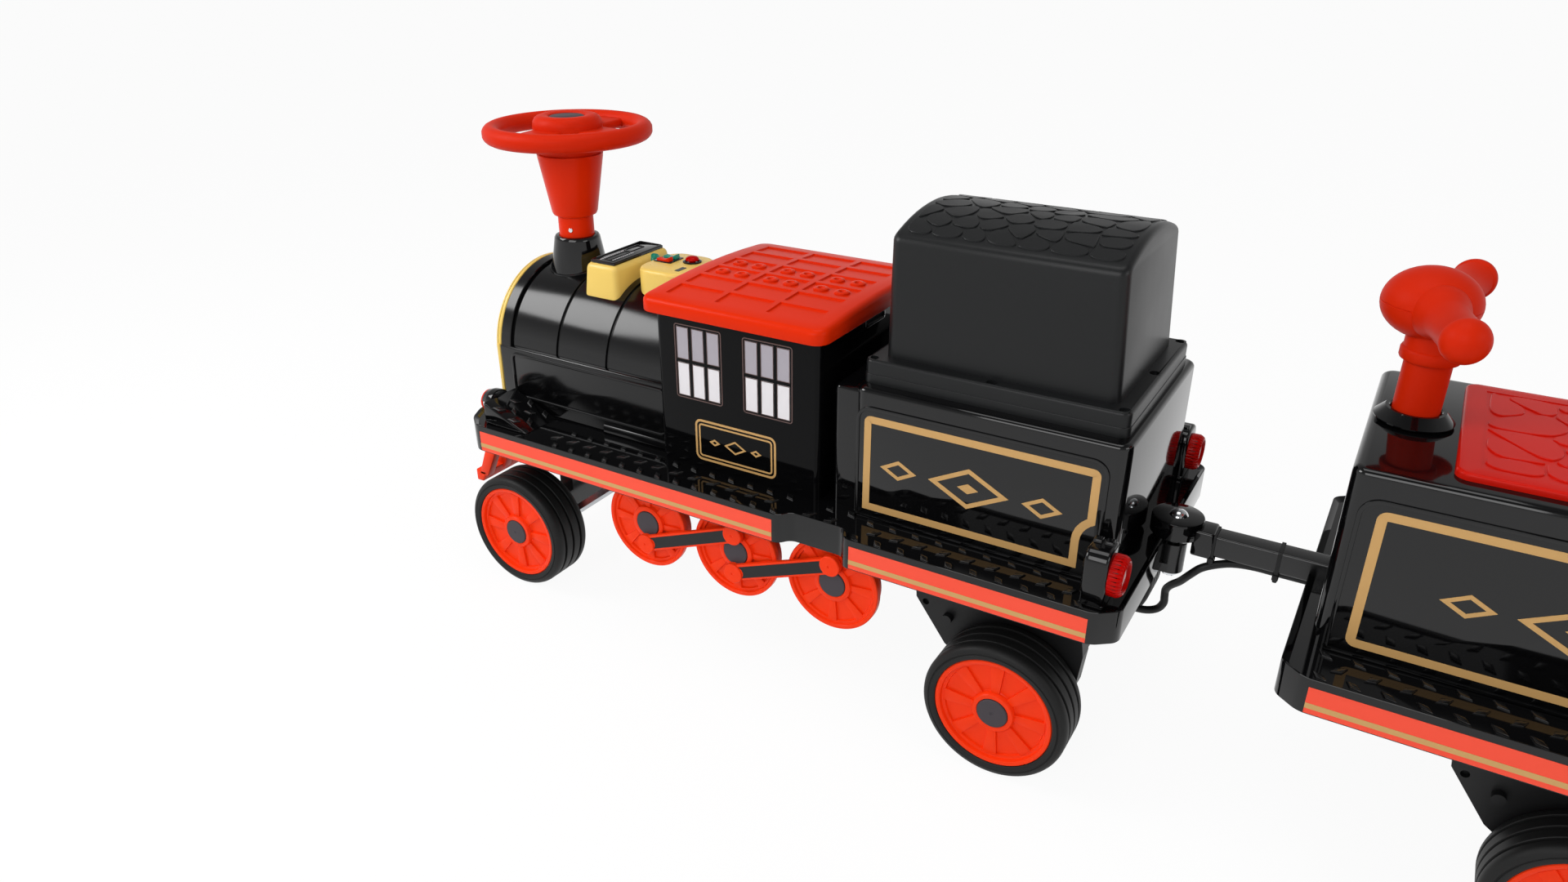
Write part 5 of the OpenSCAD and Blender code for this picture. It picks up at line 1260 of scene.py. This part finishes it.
def buildWheel(name, x, face, side):
    w = wheel
    r, wide = w["radius"], w["width"]
    body = name + ("_left" if side > 0 else "_right")
    label = body.replace("_wheel", "")
    cad = label.split("_")
    place = axisY(x, side * (face - wide), w["z"], side)
    shoulder = [(67.2, 2), (68.4, 0.6), (70, 0.1), (73, 0), (73.6, 0.9), (74.2, 0.9), (75, 0.2), (77.6, 0.9),
                (79.8, 2.4), (81.4, 4.6), (82.2, 6.8), (r, 9)]
    profile = list(shoulder)
    for i in (1, 2, 3):
        middle = i * wide / 4
        profile += [(r, middle - 2.5), (r - 0.5, middle - 1.9), (r - w["groove"], middle - 1.5),
                    (r - w["groove"], middle + 1.5), (r - 0.5, middle + 1.9), (r, middle + 2.5)]
    profile += [(a, wide - h) for a, h in reversed(shoulder)] + [shoulder[0]]
    tyre = bmesh.new()
    addLathe(tyre, profile, place, 112)
    makePiece(cad[0] + "Tyre" + cad[1].capitalize(), tyre, rubber, body, [cad[0] + "_tyre_" + cad[1]])
    rim = bmesh.new()
    o, hub, cap, web, bore = w["rim"], w["hub"], w["cap"], w["web"], w["bore"]
    addLathe(rim, [(bore, 3), (20, 3), (20, wide - 20), (o - 4, wide - 20), (o - 4, 3), (o, 3), (o, wide - 3),
                   (o - 1, wide - 1.8), (o - 4, wide - 1.8), (o - 5.6, wide - 2.8), (o - 6.4, web + 3),
                   (o - 7.4, web + 2.4), (o - 9.6, web + 2.4), (o - 10.4, web), (hub + 1.6, web),
                   (hub + 0.6, web + 0.8), (hub - 0.2, wide - 4), (hub - 1.2, wide - 3), (cap + 1, wide - 3),
                   (cap + 0.4, wide - 3.6), (cap + 0.4, wide - 7), (bore, wide - 7), (bore, 3)], place, 112)
    addSpokes(rim, place, w["spokes"], hub - 1, o - 9, 9, 16, web - 0.2, 3.2, 0.5)
    makePiece(cad[0] + "Rim" + cad[1].capitalize(), rim, orangeRed, body, [cad[0] + "_rim_" + cad[1]])
    lid = bmesh.new()
    addLathe(lid, [(0, wide - 7), (cap, wide - 7), (cap, wide - 2.6), (cap - 1, wide - 1.7),
                   (2.4, wide - 1.5), (1.6, wide - 2.2), (0, wide - 2.4)], place, 64)
    makePiece(cad[0] + "Cap" + cad[1].capitalize(), lid, capDark, body)


buildDummyWheels()
for wheelSet in wheel["sets"]:
    for wheelSide in sides:
        buildWheel(*wheelSet, wheelSide)
print("wheels done")


# wagon body, seat panel and handle
wagonBody = {"rear": -572, "front": -186, "half": 137, "height": 187, "round": 14, "soft": 7,
             "panel": (-562, -198, 163)}
wagonLining = {"rear": -546, "front": -214, "low": 11.5, "top": 153, "round": 9, "wide": 8.5}
wagonSeat = {"rear": -555, "front": -262, "half": 115, "low": 187, "top": 194, "round": 12, "soft": 3,
             "border": 18, "sink": 0.8, "stoneMargin": 3}
handle = {"x": -223, "base": 187, "stem": 20.5, "cuff": 26, "cuffLow": 62, "bulbHeight": 115, "bulb": 42,
          "bulbHalf": 33, "ahead": 10, "grip": 18, "across": 98, "back": 30, "ball": 20}


def buildWagon():
    w = wagonBody
    bm = bmesh.new()
    addRoundedBody(bm, w["rear"], w["front"], w["half"], clear, w["height"], w["round"], w["soft"])
    addSidePanel(bm, *w["panel"], w["half"])
    makePiece("wagonBody", bm, black, "wagon", ["wagon_body"])
    lines = bmesh.new()
    n = wagonLining
    x0, x1, z0, z1, r = n["rear"], n["front"], n["low"], n["top"], n["round"]
    outline = arc(x0 + r, z0 + r, r, 180, 270, 5) + arc(x1 - r, z0 + r, r, 270, 360, 5)
    outline += arc(x1 - r, z1 - r, r, 0, 90, 5) + arc(x0 + r, z1 - r, r, 90, 180, 5)
    addLining(lines, outline, n["wide"], ((x0 + x1) / 2, (z0 + z1) / 2), w["half"])
    makePiece("wagonLining", lines, gold, "wagon")


def buildWagonSeat():
    s = wagonSeat
    pad = bmesh.new()
    x0, x1, h, wide, low, top = s["rear"], s["front"], s["half"], s["border"], s["low"] + clear, s["top"]
    addPlate(pad, rectangle(x0, -h, x1, h), s["top"] - s["low"] - clear, atHeight(low), ring=wide)
    roundEdges(pad, [e for e in pad.edges if uprightEdge(e)
                     and abs(e.verts[0].co.y) > h - 0.1], s["round"], 8)
    # the outer rim is rounded and the inner one stays sharp
    rim = [e for e in topRim(pad, top) if any(abs(v.co.y) > h - wide + 1 or
                                              not x0 + wide - 1 < v.co.x < x1 - wide + 1 for v in e.verts)]
    roundEdges(pad, rim, s["soft"], 4)
    inner = wide - 1
    addBox(pad, (x0 + inner, inner - h, low), (x1 - inner, h - inner, top - s["sink"]))
    margin = wide + s["stoneMargin"]
    addCobbles(pad, (x0 + margin, x1 - margin, h - margin), padStones, lambda y: top - s["sink"])
    makePiece("wagonSeat", pad, seatRed, "wagon", ["wagon_seat"], smoothAngle=24, recalc=False)


def buildHandle():
    h = handle
    place = Matrix.Translation((h["x"], 0, h["base"]))
    collar = bmesh.new()
    addLathe(collar, [(21.7, clear), (32, clear), (34.6, 2.6), (34.8, 3.6), (27.4, 11.6), (26, 13), (23, 13),
                      (21.7, 12)], place)
    makePiece("handleCollar", collar, black, "wagon", ["handle_collar"], smoothAngle=25)
    stem = bmesh.new()
    addLathe(stem, [(0, clear), (h["stem"], clear), (h["stem"], h["cuffLow"] + 2),
                    (0, h["cuffLow"] + 2)], place)
    makePiece("handleStem", stem, softRed, "wagon", ["handle_stem"])
    grip = bmesh.new()
    c, low, mid, b, bh = h["cuff"], h["cuffLow"], h["bulbHeight"], h["bulb"], h["bulbHalf"]
    addLathe(grip, [(0, low), (c - 2.4, low), (c - 0.8, low + 0.6), (c, low + 2.2), (c, low + 9),
                    (c - 0.8, low + 11), (c - 2, low + 12), (c - 2, mid - 8), (0, mid - 8)], place, 72)
    head = Matrix.Translation((h["x"] + h["ahead"], 0, h["base"] + mid))
    lower = [(b * math.cos(math.radians(a)), bh * math.sin(math.radians(a))) for a in range(-86, -2, 7)]
    upper = [(b * math.cos(math.radians(a)), bh * math.sin(math.radians(a))) for a in range(3, 88, 7)]
    addLathe(grip, [(0, -bh)] + lower + [(b, -0.7), (b - 0.7, 0), (b, 0.7)] + upper + [(0, bh)], head, 80)
    g, ball = h["grip"], h["ball"]
    reach = math.hypot(h["across"], h["back"])
    dome = [(ball * math.cos(math.radians(a)), reach + ball * math.sin(math.radians(a)))
            for a in range(7, 90, 7)]
    bar = [(0, 8), (21, 14), (25, 24), (24.6, 31), (22.4, 40), (g + 1.2, 48), (g, 56), (g, reach - 5),
           (g + 0.4, reach - 4.4), (g - 0.2, reach - 3.8), (ball - 0.6, reach - 2),
           (ball, reach)] + dome + [(0, reach + ball)]
    for side in sides:
        sweep = Matrix.Rotation(side * math.atan2(h["back"], h["across"]), 4, "Z")
        addLathe(grip, bar, head @ sweep @ axisY(0, 0, 0, side), 56)
    makePiece("handleGrip", grip, softRed, "wagon", ["handle_grip"])


buildWagon()
buildWagonSeat()
buildHandle()
print("wagon done")


# coupling eye, cable ties and cable
hitch = {"x": -30, "eye": 28, "low": 6.5, "top": 28.5, "bore": 5.05, "barZ": 6, "socket": 15.5,
         "socketLength": 14, "tube": 25, "tubeFront": -60.5, "tubeLength": 205, "tubeRound": 2.8}
tie = {"places": [(-74, -22), (-140, -17.5)], "half": 13.6, "top": 19.6, "knee": -9, "foot": 6, "width": 4}
cable = {"radius": 4.5, "sides": 12, "steps": 5,
         "route": [(56, 30, -4), (56, 30, -24), (54, 29, -44), (46, 25, -66), (30, 17, -86), (10, 8, -99),
                   (-10, 2, -103), (-24, 0, -98), (-30, 0, -88), (-30, 0, -79), (-30, 0, -70), (-35, 4, -60),
                   (-45, 10, -48), (-55, 15, -33), (-65, 14, -22), (-80, 8, -16), (-95, 3, -13),
                   (-115, 0, -12), (-140, 0, -12), (-165, 0, -12), (-190, 0, -12), (-212, 0, -12),
                   (-234, 0, -12)]}


def buildCoupling():
    h = hitch
    bm = bmesh.new()
    e, b = h["eye"], h["bore"]
    addLathe(bm, [(b, h["low"]), (e - 2, h["low"]), (e, h["low"] + 2), (e, h["top"] - 2.5),
                  (e - 0.8, h["top"] - 0.8), (e - 2.5, h["top"]), (b, h["top"]), (b, h["low"])],
             Matrix.Translation((h["x"], 0, 0)))
    s = h["socket"]
    addBox(bm, (h["x"] - e - h["socketLength"], -s, h["barZ"] - s), (h["x"] - e + 8, s, h["barZ"] + s), 3)
    makePiece("couplingEye", bm, black, "wagon", ["coupling_eye"])
    bar = bmesh.new()
    k, x = h["tube"] / 2, h["tubeFront"]
    addBox(bar, (x - h["tubeLength"], -k, h["barZ"] - k), (x, k, h["barZ"] + k), h["tubeRound"], 4)
    makePiece("drawbarTube", bar, steelBlack, "wagon", ["drawbar"])
    ties = bmesh.new()
    half, top, knee, foot = tie["half"], tie["top"], tie["knee"], tie["foot"]
    for x, low in tie["places"]:
        loop = [(-half, top), (half, top), (half, knee), (foot, low), (-foot, low), (-half, knee)]
        addPlate(ties, loop, tie["width"], alongX(x), round=2, ring=1)
        addBox(ties, (x - 1.2, 9.5, -14), (x + 5.2, 15.5, -8), 1)
        addBox(ties, (x - 0.4, 10.4, -17), (x + 4.4, 14.6, -13), 1.4)
    makePiece("cableTies", ties, gearBlack, "wagon")


def smoothRoute(points, steps):
    # one smooth curve through all the points
    ring = [points[0]] + points + [points[-1]]
    out = []
    for i in range(1, len(ring) - 2):
        a, b, c, d = (Vector(p) for p in ring[i - 1:i + 3])
        for k in range(steps):
            t = k / steps
            square, cube = 2 * a - 5 * b + 4 * c - d, 3 * b - a - 3 * c + d
            out.append(0.5 * (2 * b + (c - a) * t + square * t * t + cube * t ** 3))
    return out + [Vector(points[-1])]


def buildCable():
    c = cable
    path = [mm(*p) for p in smoothRoute(c["route"], c["steps"])]
    bm = bmesh.new()
    rings = []
    normal = Vector((0, 1, 0))
    turns = [2 * math.pi * k / c["sides"] for k in range(c["sides"])]
    radius = c["radius"] * 0.001
    for i, p in enumerate(path):
        run = (path[min(i + 1, len(path) - 1)] - path[max(i - 1, 0)]).normalized()
        normal = (normal - run * normal.dot(run)).normalized()
        side = run.cross(normal)
        rings.append([bm.verts.new(p + (normal * math.cos(a) + side * math.sin(a)) * radius) for a in turns])
    for a, b in zip(rings, rings[1:]):
        for k in range(c["sides"]):
            n = (k + 1) % c["sides"]
            bm.faces.new((a[k], a[n], b[n], b[k]))
    bm.faces.new(rings[0])
    bm.faces.new(list(reversed(rings[-1])))
    bmesh.ops.recalc_face_normals(bm, faces=bm.faces)
    mesh = bpy.data.meshes.new("couplingCable")
    bm.to_mesh(mesh)
    bm.free()
    mesh.shade_smooth()
    mesh.materials.append(jacket)
    obj = bpy.data.objects.new("couplingCable", mesh)
    bpy.context.scene.collection.objects.link(obj)
    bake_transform(obj)
    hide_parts("cable_front", "cable_rear")


buildCoupling()
buildCable()
print("coupling done")


# pieces kept as they come in the frame
kept = [(steelBlack, ["chassis_frame", "front_axle_beam", "hitch_bracket", "wagon_hitch_bracket"]),
        (zinc, ["rear_axle", "wagon_axle", "steering_shaft", "tie_rod", "knuckle_left", "knuckle_right",
                "seat_screws"]),
        (gearBlack, ["drive_units", "wagon_drive_units"]), (capDark, ["battery"]), (chrome, ["hitch_bolt"])]
for keptMaterial, keptNames in kept:
    for keptName in keptNames:
        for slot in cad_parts[keptName].material_slots:
            slot.material = keptMaterial
print("kept pieces coloured")


# floor, light and camera
scene = bpy.context.scene
scene.view_settings.view_transform = "Standard"
floorSize = 60


def whiteRays(tree):
    # 1 for rays from the camera, from a mirror or through glass
    path = addNode(tree, "ShaderNodeLightPath")
    seen = addNode(tree, "ShaderNodeMath", {"operation": "MAXIMUM"},
                   {0: path.outputs["Is Camera Ray"], 1: path.outputs["Is Glossy Ray"]})
    both = addNode(tree, "ShaderNodeMath", {"operation": "MAXIMUM"},
                   {0: seen.outputs[0], 1: path.outputs["Is Transmission Ray"]})
    return both.outputs[0]


def buildFloor():
    mesh = bpy.data.meshes.new("floor")
    h = floorSize / 2
    mesh.from_pydata([(-h, -h, 0), (h, -h, 0), (h, h, 0), (-h, h, 0)], [], [(0, 1, 2, 3)])
    mat, tree, shader = newMaterial("studio floor", {"Base Color": lin("#FAFAFA"), "Roughness": 0.9})
    # paper white to the camera and in reflections, with a light shadow
    glow = addNode(tree, "ShaderNodeEmission", {"Strength": 1})
    share = addNode(tree, "ShaderNodeMath", {"operation": "MULTIPLY", 1: 0.94}, {0: whiteRays(tree)})
    mix = addNode(tree, "ShaderNodeMixShader", {},
                  {0: share.outputs[0], 1: shader.outputs[0], 2: glow.outputs[0]})
    tree.links.new(mix.outputs[0], tree.nodes["Material Output"].inputs[0])
    mesh.materials.append(mat)
    obj = bpy.data.objects.new("floor", mesh)
    scene.collection.objects.link(obj)
    obj.location.z = -0.0005


def buildWorld():
    world = bpy.data.worlds.new("studio")
    scene.world = world
    world.use_nodes = True
    tree = world.node_tree
    back = tree.nodes["Background"]
    back.inputs["Color"].default_value = (1, 1, 1, 1)
    # white wall all round to the camera and in mirrors, with a dim ceiling overhead
    where = addNode(tree, "ShaderNodeTexCoord")
    up = addNode(tree, "ShaderNodeSeparateXYZ", {}, {0: where.outputs["Generated"]})
    room = addNode(tree, "ShaderNodeValToRGB", {}, {"Fac": up.outputs["Z"]})
    steps = room.color_ramp.elements
    steps[0].position, steps[1].position = 0.02, 0.9
    for place, level in ((0.36, 0.4), (0.66, 0.36)):
        steps.new(place).color = (level, level, level, 1)
    steps[0].color, steps[-1].color = (1, 1, 1, 1), (0.16, 0.16, 0.16, 1)
    path = addNode(tree, "ShaderNodeLightPath")
    wall = addNode(tree, "ShaderNodeMath", {"operation": "MAXIMUM"},
                   {0: room.outputs["Color"], 1: path.outputs["Is Camera Ray"]})
    strength = addNode(tree, "ShaderNodeMapRange", {"To Min": 0.42},
                       {"Value": whiteRays(tree), "To Max": wall.outputs[0]})
    tree.links.new(strength.outputs["Result"], back.inputs["Strength"])


softboxes = {"keySoftbox": ((1985, 885, 1347), (750, 60, 120), 0.9, 0.9, 20),
             "leftSoftbox": ((250, 2300, 1500), (300, 0, 60), 1.6, 1.2, 22),
             "topSoftbox": ((300, 60, 2600), (300, 0, 100), 1.6, 1.2, 14),
             "rearSoftbox": ((-2200, 500, 1300), (0, 0, 60), 1.2, 0.9, 9)}


def addSoftbox(name, position, target, width, height, watts):
    lamp = bpy.data.lights.new(name, "AREA")
    lamp.shape = "RECTANGLE"
    lamp.size, lamp.size_y = width, height
    lamp.energy = watts
    obj = bpy.data.objects.new(name, lamp)
    scene.collection.objects.link(obj)
    obj.location = mm(*position)
    obj.rotation_euler = (mm(*target) - mm(*position)).to_track_quat("-Z", "Y").to_euler()


view = {"position": (-206.5, 1109.9, 619.2), "yaw": 31.66, "pitch": 25.7, "roll": -0.32, "lens": 24.95}


def buildCamera():
    yaw, pitch, roll = (math.radians(view[k]) for k in ("yaw", "pitch", "roll"))
    ahead = Vector((math.sin(yaw) * math.cos(pitch), -math.cos(yaw) * math.cos(pitch), -math.sin(pitch)))
    right = Vector((-math.cos(yaw), -math.sin(yaw), 0))
    up = right.cross(ahead)
    rightRolled = math.cos(roll) * right + math.sin(roll) * up
    upRolled = math.cos(roll) * up - math.sin(roll) * right
    data = bpy.data.cameras.new("camera")
    data.sensor_width = 36
    data.lens = view["lens"]
    obj = bpy.data.objects.new("camera", data)
    scene.collection.objects.link(obj)
    turn = Matrix((rightRolled, upRolled, -ahead)).transposed().to_4x4()
    obj.matrix_world = Matrix.Translation(mm(*view["position"])) @ turn
    scene.camera = obj


buildFloor()
buildWorld()
for boxName, boxSettings in softboxes.items():
    addSoftbox(boxName, *boxSettings)
buildCamera()
print("studio done")
